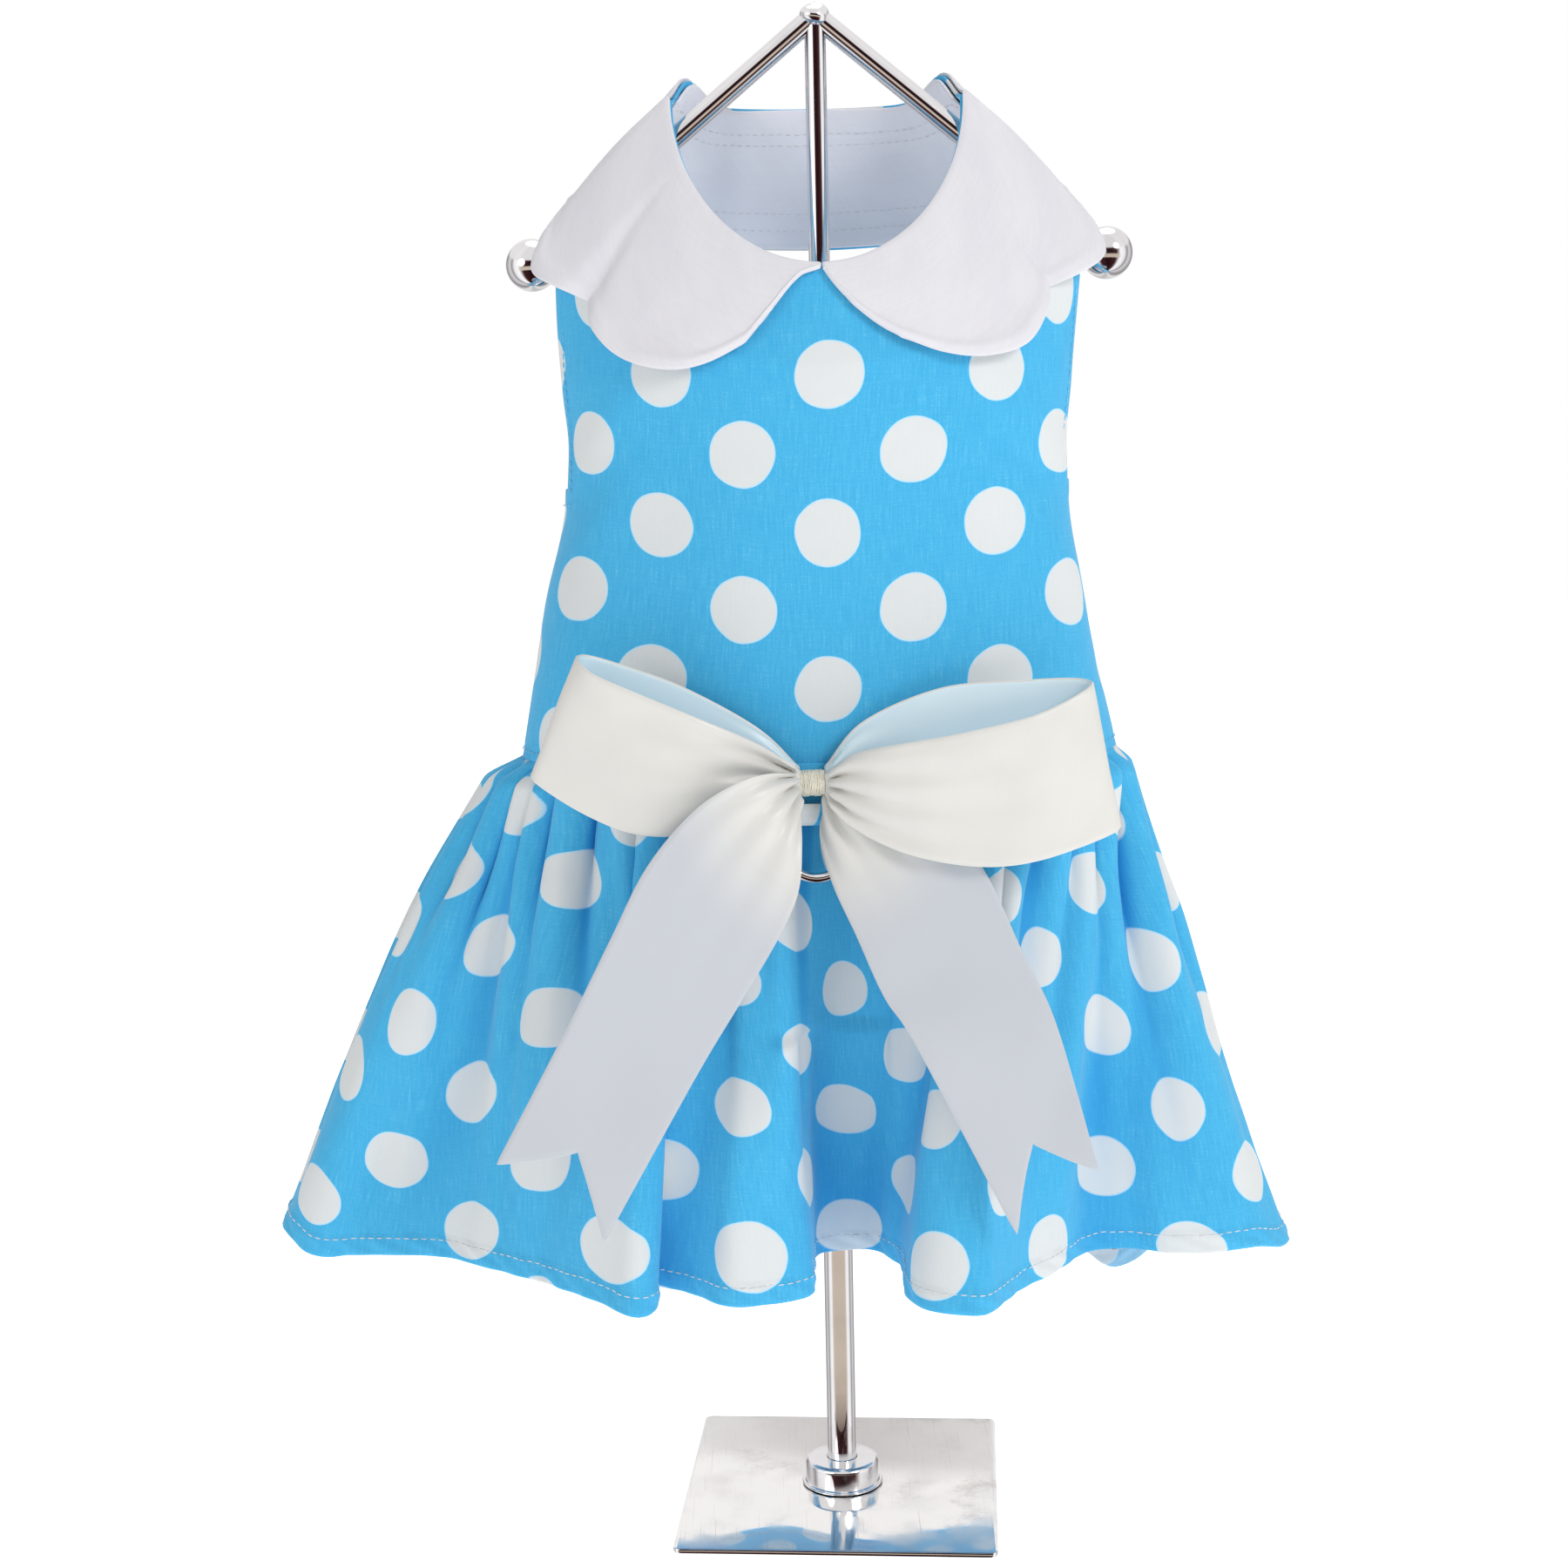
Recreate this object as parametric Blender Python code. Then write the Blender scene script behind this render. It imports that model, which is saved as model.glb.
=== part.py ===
# Dog dress on a display stand. Units are metres and +Z is up. The side with the bow faces -Y.
# The pole is on the Z axis, and the underside of the base plate is at z = 0.
import math

import bmesh
import bpy
import numpy as np
from mathutils import Matrix, Vector

for old in list(bpy.data.objects):
    bpy.data.objects.remove(old, do_unlink=True)

INCH = 0.0254
GAP = 0.0003

# Stand
PLATE_SIDE = 4 * INCH
PLATE_THICK = 0.0016
PLATE_CORNER = 0.0025
PLATE_TURN = math.radians(-4.4)
TUBE_R = 0.1875 * INCH
ROD_R = 0.1275 * INCH
TUBE_TOP = 0.215
SOCKET_DEPTH = 0.018
FLANGE_R = 0.0121
FLANGE_HIGH = 0.0084
WASHER_R = 0.0133
WASHER_HIGH = 0.0008
ROD_EASE = 0.0004
APEX_Z = 0.4702
WELD_R = 0.0040
BALL_R = 0.3125 * INCH
BALL_PAST_SHOULDER = 0.0080
ARM_PAST_BALL = 0.0017
ARM_BELOW_NECK = 0.0118
ARM_BELOW_SHOULDER = 0.0072

# Cloth
CLOTH = 0.0012
LINING = 0.0010
LAYER_GAP = 0.0004
LAYER = CLOTH + LAYER_GAP
SEAM_GAP = 0.0004
WAIST_HALF = 0.093
BODICE_LENGTH = 0.148
PANEL_EDGE = 80
SHOULDER_EDGE = 100
STRAP_EDGE = 100.6
PUCKER_ANGLE = 118
PUCKER_WIDE = 13
PUCKER_HIGH = 0.0075

# Rings of the bodice from the neckline to the waist. The widths and depths are shares of
# WAIST_HALF, and the heights are shares of BODICE_LENGTH above the waist.
RING_COLUMNS = ("half_width", "front", "far", "centre", "z_front", "z_side", "z_far")
RINGS = (
    (0.473, 0.376, 0.484, 0.000, 1.000, 1.345, 1.352),
    (0.860, 0.441, 0.559, 0.000, 0.804, 1.115, 1.061),
    (0.850, 0.452, 0.430, -0.013, 0.655, 0.880, 0.800),
    (0.828, 0.462, 0.398, -0.027, 0.560, 0.560, 0.560),
    (0.903, 0.487, 0.409, -0.038, 0.310, 0.310, 0.310),
    (1.000, 0.516, 0.430, -0.032, 0.000, 0.000, 0.000),
)

# The dress hangs on the arms. Each arm passes these clearances under the yoke's two rings, and
# that sets the arms' slope, the height of the waist and the place of the ball tips.
NECK_SIDE_X = WAIST_HALF * RINGS[0][0]
SHOULDER_X = WAIST_HALF * RINGS[1][0]
YOKE_DROP = BODICE_LENGTH * (RINGS[0][5] - RINGS[1][5])
ARM_SLOPE = (YOKE_DROP + ARM_BELOW_SHOULDER - ARM_BELOW_NECK) / (SHOULDER_X - NECK_SIDE_X)
WAIST_Z = APEX_Z - ARM_SLOPE * NECK_SIDE_X + ARM_BELOW_NECK - BODICE_LENGTH * RINGS[0][5]
BALL_X = SHOULDER_X + BALL_PAST_SHOULDER
BALL_Z = APEX_Z - ARM_SLOPE * BALL_X

# Edge of the collar by angle from the front centre: how far down the yoke it reaches on each
# side, as a share of the yoke's width, and how far forward it stands, as a share of a ball's size.
COLLAR_COLUMNS = ("angle", "reach_left", "reach_right", "forward")
COLLAR_EDGE = (
    (2.5, 0.05, 0.08, 0.00),
    (7.0, 0.12, 0.35, 0.00),
    (10.7, 0.28, 0.53, 0.02),
    (14.7, 0.57, 0.70, 0.05),
    (18.0, 0.85, 0.83, 0.10),
    (26.0, 1.14, 1.06, 0.15),
    (33.0, 1.25, 1.19, 0.15),
    (42.0, 1.26, 1.23, 0.15),
    (51.6, 1.17, 1.11, 0.14),
    (59.0, 1.03, 0.99, 0.12),
    (68.0, 1.13, 1.10, 0.24),
    (79.0, 1.21, 1.17, 0.32),
    (86.0, 1.08, 1.06, 0.20),
    (92.0, 0.90, 0.90, 0.00),
    (101.0, 0.93, 0.93, 0.00),
    (110.0, 0.84, 0.84, 0.00),
    (117.0, 0.55, 0.55, 0.00),
    (121.0, 0.15, 0.15, 0.00),
)

# Hem of the skirt in plan, from the left end along the front and back along the far side.
# across is from the hem's centre, which is HEM_TO_LEFT from the pole, depth is from the pole and drop is below HEM_Z.
# All are shares of HEM_HALF.
SKIRT_LENGTH = 0.160
HEM_Z = WAIST_Z - SKIRT_LENGTH
HEM_HALF = 0.165
HEM_TO_LEFT = 0.018
HEM_COLUMNS = ("across", "depth", "drop")
HEM_FRONT = (
    (-1.000, 0.100, -0.02),
    (-0.976, 0.006, -0.03),
    (-0.910, -0.050, 0.00),
    (-0.800, -0.058, 0.00),
    (-0.680, -0.072, 0.00),
    (-0.570, -0.130, 0.00),
    (-0.460, -0.225, 0.00),
    (-0.355, -0.318, 0.00),
    (-0.268, -0.372, 0.01),
    (-0.236, -0.262, 0.00),
    (-0.176, -0.318, 0.00),
    (-0.110, -0.364, 0.00),
    (-0.042, -0.362, 0.00),
    (0.036, -0.300, 0.00),
    (0.085, -0.140, 0.00),
    (0.127, -0.086, 0.00),
    (0.190, -0.100, 0.00),
    (0.228, -0.235, 0.00),
    (0.255, -0.386, 0.00),
    (0.315, -0.432, 0.00),
    (0.376, -0.430, 0.00),
    (0.442, -0.326, 0.00),
    (0.515, -0.218, 0.00),
    (0.588, -0.132, 0.00),
    (0.673, -0.118, 0.00),
    (0.745, -0.146, 0.00),
    (0.824, -0.150, 0.00),
    (0.909, -0.114, 0.00),
    (0.976, -0.060, 0.02),
    (1.000, 0.020, 0.02),
)
HEM_FAR = (
    (0.970, 0.120, 0.02),
    (0.890, 0.210, 0.05),
    (0.790, 0.280, 0.12),
    (0.690, 0.240, 0.17),
    (0.600, 0.320, 0.13),
    (0.480, 0.430, 0.04),
    (0.340, 0.390, 0.00),
    (0.210, 0.300, 0.00),
    (0.070, 0.370, 0.00),
    (-0.070, 0.450, 0.00),
    (-0.220, 0.390, 0.00),
    (-0.350, 0.300, 0.00),
    (-0.490, 0.370, 0.00),
    (-0.630, 0.400, 0.00),
    (-0.760, 0.290, 0.00),
    (-0.870, 0.250, 0.00),
    (-0.960, 0.200, -0.01),
)
SKIRT_FRONT_STEPS = 64
SKIRT_FAR_STEPS = 38
SKIRT_ROWS = 7
BELL = 0.86
BELL_LEAN = 0.10
FOLD_GROWTH = 1.15
GATHERS = 26
GATHER_DEEP = 0.0020

# Bow. The stations run along each ribbon, and all their lengths are shares of RIBBON from the
# knot's centre: the upper edge's x, y, z and then the lower edge's x, y, z.
RIBBON = 1.5 * INCH
RIBBON_THICK = 0.0010
KNOT_TO_LEFT = 0.006
KNOT_BELOW_WAIST = 0.002
KNOT_R = 0.0052
KNOT_HALF = 0.0036
KNOT_TURNS = 4
KNOT_GROOVE = 0.0005
STATION_COLUMNS = ("x1", "y1", "z1", "x2", "y2", "z2")
LOOP_LEFT = (
    (-0.105, -0.080, 0.110, -0.105, -0.080, -0.080),
    (-0.420, -0.240, 0.340, -0.420, -0.220, -0.180),
    (-0.840, -0.420, 0.560, -0.900, -0.400, -0.300),
    (-1.310, -0.440, 0.770, -1.340, -0.420, -0.290),
    (-1.640, -0.360, 0.920, -1.760, -0.340, -0.130),
    (-1.760, -0.200, 1.020, -2.130, -0.200, 0.100),
    (-1.690, -0.030, 1.020, -2.050, -0.020, 0.110),
    (-1.400, 0.030, 0.920, -1.600, 0.040, -0.060),
    (-0.960, 0.050, 0.740, -1.000, 0.060, -0.180),
    (-0.420, 0.060, 0.420, -0.460, 0.070, -0.120),
    (-0.105, 0.075, 0.110, -0.105, 0.075, -0.080),
)
LOOP_RIGHT = (
    (0.105, -0.085, 0.080, 0.105, -0.085, -0.090),
    (0.300, -0.230, 0.240, 0.300, -0.220, -0.300),
    (0.640, -0.410, 0.330, 0.700, -0.380, -0.490),
    (1.180, -0.480, 0.430, 1.250, -0.460, -0.590),
    (1.700, -0.420, 0.540, 1.750, -0.420, -0.550),
    (2.110, -0.220, 0.710, 2.310, -0.200, -0.390),
    (2.060, -0.060, 0.760, 2.230, -0.020, -0.350),
    (1.640, 0.000, 0.750, 1.700, 0.040, -0.350),
    (1.000, 0.040, 0.700, 1.000, 0.050, -0.330),
    (0.400, 0.060, 0.450, 0.400, 0.060, -0.170),
    (0.105, 0.075, 0.110, 0.105, 0.075, -0.070),
)
TAIL_LEFT = (
    (-0.105, -0.150, 0.090, -0.105, -0.150, -0.090),
    (-0.420, -0.500, 0.130, -0.100, -0.420, -0.420),
    (-0.840, -0.620, -0.060, -0.140, -0.520, -0.760),
    (-1.240, -0.640, -0.500, -0.300, -0.560, -1.100),
    (-1.550, -0.600, -1.080, -0.580, -0.570, -1.560),
    (-1.900, -0.560, -1.760, -0.960, -0.560, -2.180),
    (-2.480, -0.560, -2.820, -1.680, -0.580, -3.440),
)
TAIL_RIGHT = (
    (0.105, -0.005, -0.085, 0.105, -0.005, 0.080),
    (0.050, -0.080, -0.380, 0.440, -0.150, -0.060),
    (0.140, -0.220, -0.740, 0.900, -0.250, -0.260),
    (0.320, -0.340, -1.140, 1.260, -0.300, -0.620),
    (0.520, -0.420, -1.600, 1.580, -0.380, -1.320),
    (0.760, -0.500, -1.980, 1.820, -0.440, -1.860),
    (1.500, -0.580, -3.460, 2.120, -0.560, -2.960),
)
TAIL_NOTCH = 0.055

# Leash ring
RING_WIRE_R = 0.0625 * INCH
RING_HALF = 0.0124
RING_TO_LEFT = 0.005
RING_BELOW_WAIST = 0.0125
RING_BAR_Z = WAIST_Z - RING_BELOW_WAIST
RING_ARC_DOWN = 0.0188
WIRE_SIDES = 8
TAB_HALF = 0.0088
TAB_THICK = 0.0010
TAB_UP = 0.0036
TAB_TOP = 0.0150

# The tab lies on the waist seam, the ring in its fold and the knot on its back leaf.
SEAM_Y = -WAIST_HALF * RINGS[5][1] - CLOTH / 2
TAB_Y = SEAM_Y - GAP - TAB_THICK / 2
RING_Y = TAB_Y - TAB_THICK / 2 - GAP - RING_WIRE_R
KNOT = Vector((-KNOT_TO_LEFT, TAB_Y - TAB_THICK / 2 - GAP - KNOT_R, WAIST_Z - KNOT_BELOW_WAIST))
FLAT_PLACE = 14

SKY = (0.053, 0.445, 0.807, 1)
WHITE = (0.86, 0.86, 0.88, 1)
SATIN = (0.88, 0.87, 0.84, 1)
CHROME = (0.72, 0.71, 0.71, 1)


def material(name, colour, metallic, roughness):
    made = bpy.data.materials.new(name)
    made.use_nodes = True
    shader = made.node_tree.nodes["Principled BSDF"]
    shader.inputs["Base Color"].default_value = colour
    shader.inputs["Metallic"].default_value = metallic
    shader.inputs["Roughness"].default_value = roughness
    made.diffuse_color = colour
    return made


def place(name, bm, colour, metallic=0.0, roughness=0.8):
    bmesh.ops.recalc_face_normals(bm, faces=bm.faces)
    mesh = bpy.data.meshes.new(name)
    bm.to_mesh(mesh)
    bm.free()
    mesh.materials.append(material(name, colour, metallic, roughness))
    made = bpy.data.objects.new(name, mesh)
    bpy.context.scene.collection.objects.link(made)
    return made


def steel(name, bm):
    return place(name, bm, CHROME, 1.0, 0.12)


def smooth_at(rows, where):
    # Catmull-Rom values of the table at these row numbers
    rows = np.asarray(rows, float)
    where = np.clip(np.asarray(where, float), 0, len(rows) - 1)
    low = np.minimum(where.astype(int), len(rows) - 2)
    f = (where - low)[..., None]
    p1, p2 = rows[low], rows[low + 1]
    p0 = np.where((low > 0)[..., None], rows[np.maximum(low - 1, 0)], 2 * p1 - p2)
    last = (low + 2 > len(rows) - 1)[..., None]
    p3 = np.where(last, 2 * p2 - p1, rows[np.minimum(low + 2, len(rows) - 1)])
    return p1 + 0.5 * f * (p2 - p0 + f * (2 * p0 - 5 * p1 + 4 * p2 - p3 + f * (3 * (p1 - p2) + p3 - p0)))


def ring_values(level, straight=False):
    level = np.asarray(level, float)
    rows = np.asarray(RINGS, float)
    yoke = rows[0] + (rows[1] - rows[0]) * level[..., None]
    if straight:
        return yoke
    return np.where((level <= 1)[..., None], yoke, smooth_at(rows[1:], level - 1))


def body_point(angle, level, straight=False):
    # Point of the bodice's middle surface. The angle is in degrees from the front, + towards +X.
    values = ring_values(level, straight)
    half, front, far, centre, z_front, z_side, z_far = np.moveaxis(values, -1, 0)
    turn = np.radians(angle)
    c = np.cos(turn)
    x = WAIST_HALF * (half * np.sin(turn) + centre)
    y = WAIST_HALF * np.where(c >= 0, -front * c, -far * c)
    rise = np.where(c >= 0, z_side + (z_front - z_side) * c, z_side + (z_far - z_side) * c * c)
    pucker = PUCKER_HIGH * np.exp(-(((np.abs((angle + 180) % 360 - 180) - PUCKER_ANGLE) / PUCKER_WIDE) ** 2))
    z = WAIST_Z + BODICE_LENGTH * rise + pucker * np.clip(1 - level, 0, 1)
    return np.stack([x, y, z], -1)


def body_normal(angle, level, straight=False):
    step = 0.04
    around = body_point(angle + 1.0, level, straight) - body_point(angle - 1.0, level, straight)
    low = level if straight else np.maximum(level - step, 0)
    down = body_point(angle, np.minimum(level + step, 5), straight) - body_point(angle, low, straight)
    if straight:
        down = body_point(angle, level + step, True) - body_point(angle, level - step, True)
    n = np.cross(down, around)
    return n / np.linalg.norm(n, axis=-1, keepdims=True)


def grid_normals(grid, wrap):
    if wrap:
        along = np.roll(grid, -1, axis=1) - np.roll(grid, 1, axis=1)
    else:
        along = np.gradient(grid, axis=1)
    n = np.cross(np.gradient(grid, axis=0), along)
    return n / np.maximum(np.linalg.norm(n, axis=-1, keepdims=True), 1e-12)


def walls(name, middle, normal, thick, colour, wrap=False, keep=None, roughness=0.85):
    # Closed wall of this thickness about a grid of points. keep marks the grid's cells to build.
    rows, columns = middle.shape[:2]
    cells = np.ones((rows - 1, columns if wrap else columns - 1), bool) if keep is None else keep
    bm = bmesh.new()
    sides = []
    for side in (1, -1):
        points = middle + normal * thick * 0.5 * side
        sides.append({})
        for j in range(rows):
            for i in range(columns):
                sides[-1][j, i] = Vector(points[j, i])
    made = ({}, {})

    def corner(side, j, i):
        i %= columns
        if (j, i) not in made[side]:
            made[side][j, i] = bm.verts.new(sides[side][j, i])
        return made[side][j, i]

    def inside(j, i):
        if wrap:
            i %= cells.shape[1]
        return 0 <= j < cells.shape[0] and 0 <= i < cells.shape[1] and cells[j, i]

    for j, i in zip(*np.nonzero(cells)):
        j, i = int(j), int(i)
        loop = ((j, i), (j, i + 1), (j + 1, i + 1), (j + 1, i))
        bm.faces.new([corner(0, *p) for p in loop])
        bm.faces.new([corner(1, *p) for p in reversed(loop)])
        around = (inside(j - 1, i), inside(j, i + 1), inside(j + 1, i), inside(j, i - 1))
        for k, closed in enumerate(around):
            if not closed:
                a, b = loop[k], loop[(k + 1) % 4]
                bm.faces.new([corner(0, *b), corner(0, *a), corner(1, *a), corner(1, *b)])
    return place(name, bm, colour, 0.0, roughness)


def lathe(profile, steps, matrix):
    # Closed solid turned about Z from (r, z) points. A run of points on the axis closes it.
    bm = bmesh.new()
    rings = []
    for r, z in profile:
        if r < 1e-9:
            rings.append([bm.verts.new(matrix @ Vector((0, 0, z)))])
            continue
        ring = []
        for k in range(steps):
            a = 2 * math.pi * k / steps
            ring.append(bm.verts.new(matrix @ Vector((r * math.cos(a), r * math.sin(a), z))))
        rings.append(ring)
    for one, two in zip(rings, rings[1:] + rings[:1]):
        for k in range(steps):
            a, b = one[k % len(one)], one[(k + 1) % len(one)]
            c, d = two[(k + 1) % len(two)], two[k % len(two)]
            corners = []
            for v in (a, b, c, d):
                if v not in corners:
                    corners.append(v)
            if len(corners) > 2:
                bm.faces.new(corners)
    return bm


def rod_profile(radius, low, high):
    ease = ROD_EASE
    return [(0, low), (radius - ease, low), (radius, low + ease), (radius, high - ease), (radius - ease, high), (0, high)]


def pointing(start, end):
    direction = (end - start).normalized()
    return Matrix.Translation(start) @ direction.to_track_quat("Z", "Y").to_matrix().to_4x4()


# Stand: plate
def build_plate():
    bm = bmesh.new()
    half = PLATE_SIDE / 2
    levels = ((0.0, 0.0004), (0.0004, 0.0), (PLATE_THICK - 0.0004, 0.0), (PLATE_THICK, 0.0004))
    loops = []
    for z, ease in levels:
        loop = []
        for corner in range(4):
            for step in range(5):
                a = math.pi / 2 * (corner + step / 4)
                centre = math.pi / 4 + math.pi / 2 * corner
                middle = (half - PLATE_CORNER) * math.sqrt(2)
                x = middle * math.cos(centre) + (PLATE_CORNER - ease) * math.cos(a)
                y = middle * math.sin(centre) + (PLATE_CORNER - ease) * math.sin(a)
                point = Matrix.Rotation(PLATE_TURN, 4, "Z") @ Vector((x, y, z))
                loop.append(bm.verts.new(point))
        loops.append(loop)
    for low, high in zip(loops, loops[1:]):
        for k in range(len(low)):
            n = (k + 1) % len(low)
            bm.faces.new([low[k], low[n], high[n], high[k]])
    bm.faces.new(loops[0][::-1])
    bm.faces.new(loops[-1])
    steel("base_plate", bm)


# Stand: flange, tube, hanger and ball tips
def build_stand():
    foot = PLATE_THICK + GAP
    bore = TUBE_R + GAP
    top = foot + FLANGE_HIGH
    flange = [
        (bore, foot),
        (WASHER_R - 0.0003, foot),
        (WASHER_R, foot + 0.0003),
        (WASHER_R, foot + WASHER_HIGH),
        (FLANGE_R, foot + WASHER_HIGH),
        (FLANGE_R, top - 0.0016),
        (FLANGE_R - 0.0005, top - 0.0005),
        (FLANGE_R - 0.0016, top),
        (bore, top),
    ]
    steel("base_flange", lathe(flange, 32, Matrix()))
    socket = ROD_R + GAP
    tube = [
        (0, foot),
        (TUBE_R, foot),
        (TUBE_R, TUBE_TOP - 0.0006),
        (TUBE_R - 0.0006, TUBE_TOP),
        (socket, TUBE_TOP),
        (socket, TUBE_TOP - SOCKET_DEPTH),
        (0, TUBE_TOP - SOCKET_DEPTH),
    ]
    steel("lower_tube", lathe(tube, 24, Matrix()))
    low = TUBE_TOP - SOCKET_DEPTH + GAP
    hanger = steel("hanger", lathe(rod_profile(ROD_R, low, APEX_Z), 20, Matrix()))
    apex = Vector((0, 0, APEX_Z))
    ball_r = [(0, -WELD_R)]
    for k in range(1, 8):
        a = math.pi * k / 8
        ball_r.append((WELD_R * math.sin(a), -WELD_R * math.cos(a)))
    ball_r.append((0, WELD_R))
    tools = [steel("weld_cutter", lathe(ball_r, 16, Matrix.Translation(apex)))]
    for side, x in (("left", -BALL_X), ("right", BALL_X)):
        centre = Vector((x, 0, BALL_Z))
        length = (centre - apex).length
        arm = lathe(rod_profile(ROD_R, 0, length + ARM_PAST_BALL), 20, pointing(apex, centre))
        tools.append(steel("arm_cutter_" + side, arm))
        hole = ROD_R + GAP
        depth = ARM_PAST_BALL + GAP
        mouth = math.sqrt(BALL_R**2 - hole**2)
        profile = [(0, depth), (hole, depth), (hole, -mouth)]
        start = math.atan2(hole, -mouth)
        for k in range(1, 13):
            a = start * (1 - k / 12)
            profile.append((BALL_R * math.sin(a) if k < 12 else 0, BALL_R * math.cos(a)))
        frame = pointing(apex, centre) @ Matrix.Translation((0, 0, length))
        steel("ball_tip_" + side, lathe(profile, 18, frame))
    for tool in tools:
        tool.hide_render = True
        tool.display_type = "WIRE"
        joint = hanger.modifiers.new(tool.name, "BOOLEAN")
        joint.operation = "UNION"
        joint.solver = "EXACT"
        joint.object = tool


# Bodice: the back panel with its shoulders, and the band round the belly
def build_bodice():
    angles = np.arange(-180, 180, 5.0)
    levels = np.array([0, 0.33, 0.67, 1, 1.5, 2, 2.5, 3, 3.67, 4.33, 5])
    a, v = np.meshgrid(angles, levels)
    cell_angle = angles + 2.5
    keep = np.zeros((len(levels) - 1, len(angles)), bool)
    for j, level in enumerate(levels[:-1]):
        reach = SHOULDER_EDGE if level < 1 else PANEL_EDGE if level < 3 else 181
        keep[j] = np.abs(cell_angle) < reach
    walls("bodice", body_point(a, v), body_normal(a, v), CLOTH, SKY, True, keep)


def patch(name, angles, levels, offset, thick, colour, straight=True):
    a, v = np.meshgrid(angles, levels)
    n = body_normal(a, v, straight)
    walls(name, body_point(a, v, straight) + n * offset, n, thick, colour)


# Strap round the throat with its white lining, and the two closing tabs
def build_straps():
    around = np.linspace(STRAP_EDGE, 360 - STRAP_EDGE, 25)
    patch("neck_strap", around, np.linspace(0, 1, 4), 0, CLOTH, SKY)
    inner = -(CLOTH + LINING) / 2 - 3 * GAP
    patch("neck_lining", around, np.linspace(0, 1, 4), inner, LINING, WHITE)
    patch("neck_tab", np.linspace(166, 194, 7), np.linspace(0.06, 0.94, 3), LAYER, CLOTH, SKY)
    patch("belly_tab", np.linspace(166, 192, 6), np.linspace(3.1, 4.8, 4), LAYER, CLOTH, SKY, False)


# Collar: one scalloped half on each side, lying on the yoke and over the shoulder
def build_collar():
    rows = np.asarray(COLLAR_EDGE, float)
    for side, sign, column in (("left", -1, 1), ("right", 1, 2)):
        angles = np.concatenate([np.linspace(2.5, 56, 14), np.linspace(59, 90, 9), np.linspace(94, 121, 7)])
        reach = np.interp(angles, rows[:, 0], rows[:, column])
        forward = np.interp(angles, rows[:, 0], rows[:, 3]) * 2 * BALL_R
        share = np.linspace(0, 1, 6)[:, None]
        v = share * reach[None, :]
        a = np.broadcast_to(sign * angles, v.shape)
        n = body_normal(a, v, True)
        belly = np.sin(math.pi * np.clip(v, 0, 1)) * 0.0014
        p = body_point(a, v, True) + n * (LAYER + belly)[..., None]
        p[..., 1] -= share**2 * forward[None, :]
        normal = grid_normals(p, False) * -sign
        walls("collar_" + side, p, normal * np.sign((normal * n).sum(-1, keepdims=True)), CLOTH, WHITE)


def even_steps(points, count):
    # These many equal steps along a dense line, its last point left out
    lengths = np.linalg.norm(np.diff(points, axis=0), axis=1)
    run = np.concatenate([[0], np.cumsum(lengths)])
    at = np.linspace(0, run[-1], count, endpoint=False)
    return np.stack([np.interp(at, run, points[:, k]) for k in range(3)], -1)


def hem_points():
    rows = np.asarray(HEM_FRONT + HEM_FAR + HEM_FRONT[:3], float)
    lead = np.asarray(HEM_FAR[-1:], float)
    rows = np.concatenate([lead, rows])
    last_front = len(HEM_FRONT)
    last_far = last_front + len(HEM_FAR) + 1
    front = smooth_at(rows, np.linspace(1, last_front, 900))
    far = smooth_at(rows, np.linspace(last_front, last_far, 700))
    hem = np.concatenate([even_steps(front, SKIRT_FRONT_STEPS), even_steps(far, SKIRT_FAR_STEPS)])
    x = HEM_HALF * hem[:, 0] - HEM_TO_LEFT
    y = HEM_HALF * hem[:, 1]
    z = HEM_Z - HEM_HALF * hem[:, 2]
    return np.stack([x, y, z], -1)


# Skirt: one gathered tube whose folds open from the waist to the hem
def build_skirt():
    hem = hem_points()
    count = len(hem)
    front = np.linspace(-90, 90, SKIRT_FRONT_STEPS, endpoint=False)
    far = np.linspace(90, 270, SKIRT_FAR_STEPS, endpoint=False)
    angles = np.concatenate([front, far])
    waist = body_point(angles, np.full(count, 5.0))
    waist[:, 2] -= SEAM_GAP
    window = np.hanning(15)
    window /= window.sum()
    mean = np.zeros_like(hem)
    for k, share in enumerate(window):
        mean += share * np.roll(hem, 7 - k, axis=0)
    calm = 1 - np.exp(-((angles / FLAT_PLACE) ** 2))
    outward = np.stack([np.sin(np.radians(angles)), -np.cos(np.radians(angles))], -1)
    wave = np.sin(2 * math.pi * GATHERS * np.arange(count) / count + 0.8 * np.sin(np.arange(count) * 0.31))
    bell = (BELL + BELL_LEAN * np.sin(np.radians(angles)))[:, None]
    grid = []
    for j in range(SKIRT_ROWS + 1):
        t = (j / SKIRT_ROWS) ** 1.25
        row = waist + (mean - waist) * t**bell + (hem - mean) * t**FOLD_GROWTH
        row[:, 2] = waist[:, 2] + (hem[:, 2] - waist[:, 2]) * t
        puff = GATHER_DEEP * min(t / 0.10, 1) * (1 - t) ** 1.5
        row[:, :2] += outward * (wave * puff * calm)[:, None]
        grid.append(row)
    grid = np.array(grid)
    walls("skirt", grid, grid_normals(grid, True), CLOTH, SKY, True)


def ribbon(name, stations, steps, notch=0.0, columns=3):
    rows = np.asarray(stations, float) * RIBBON
    share = np.linspace(0, 1, columns)
    end = 1 - notch * (1 - np.abs(2 * share - 1))
    grid = np.zeros((steps + 1, columns, 3))
    for k, across in enumerate(share):
        values = smooth_at(rows, np.linspace(0, end[k], steps + 1) * (len(rows) - 1))
        grid[:, k] = values[:, :3] + (values[:, 3:] - values[:, :3]) * across + np.array(KNOT)
    walls(name, grid, grid_normals(grid, False), RIBBON_THICK, SATIN, roughness=0.45)


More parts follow.
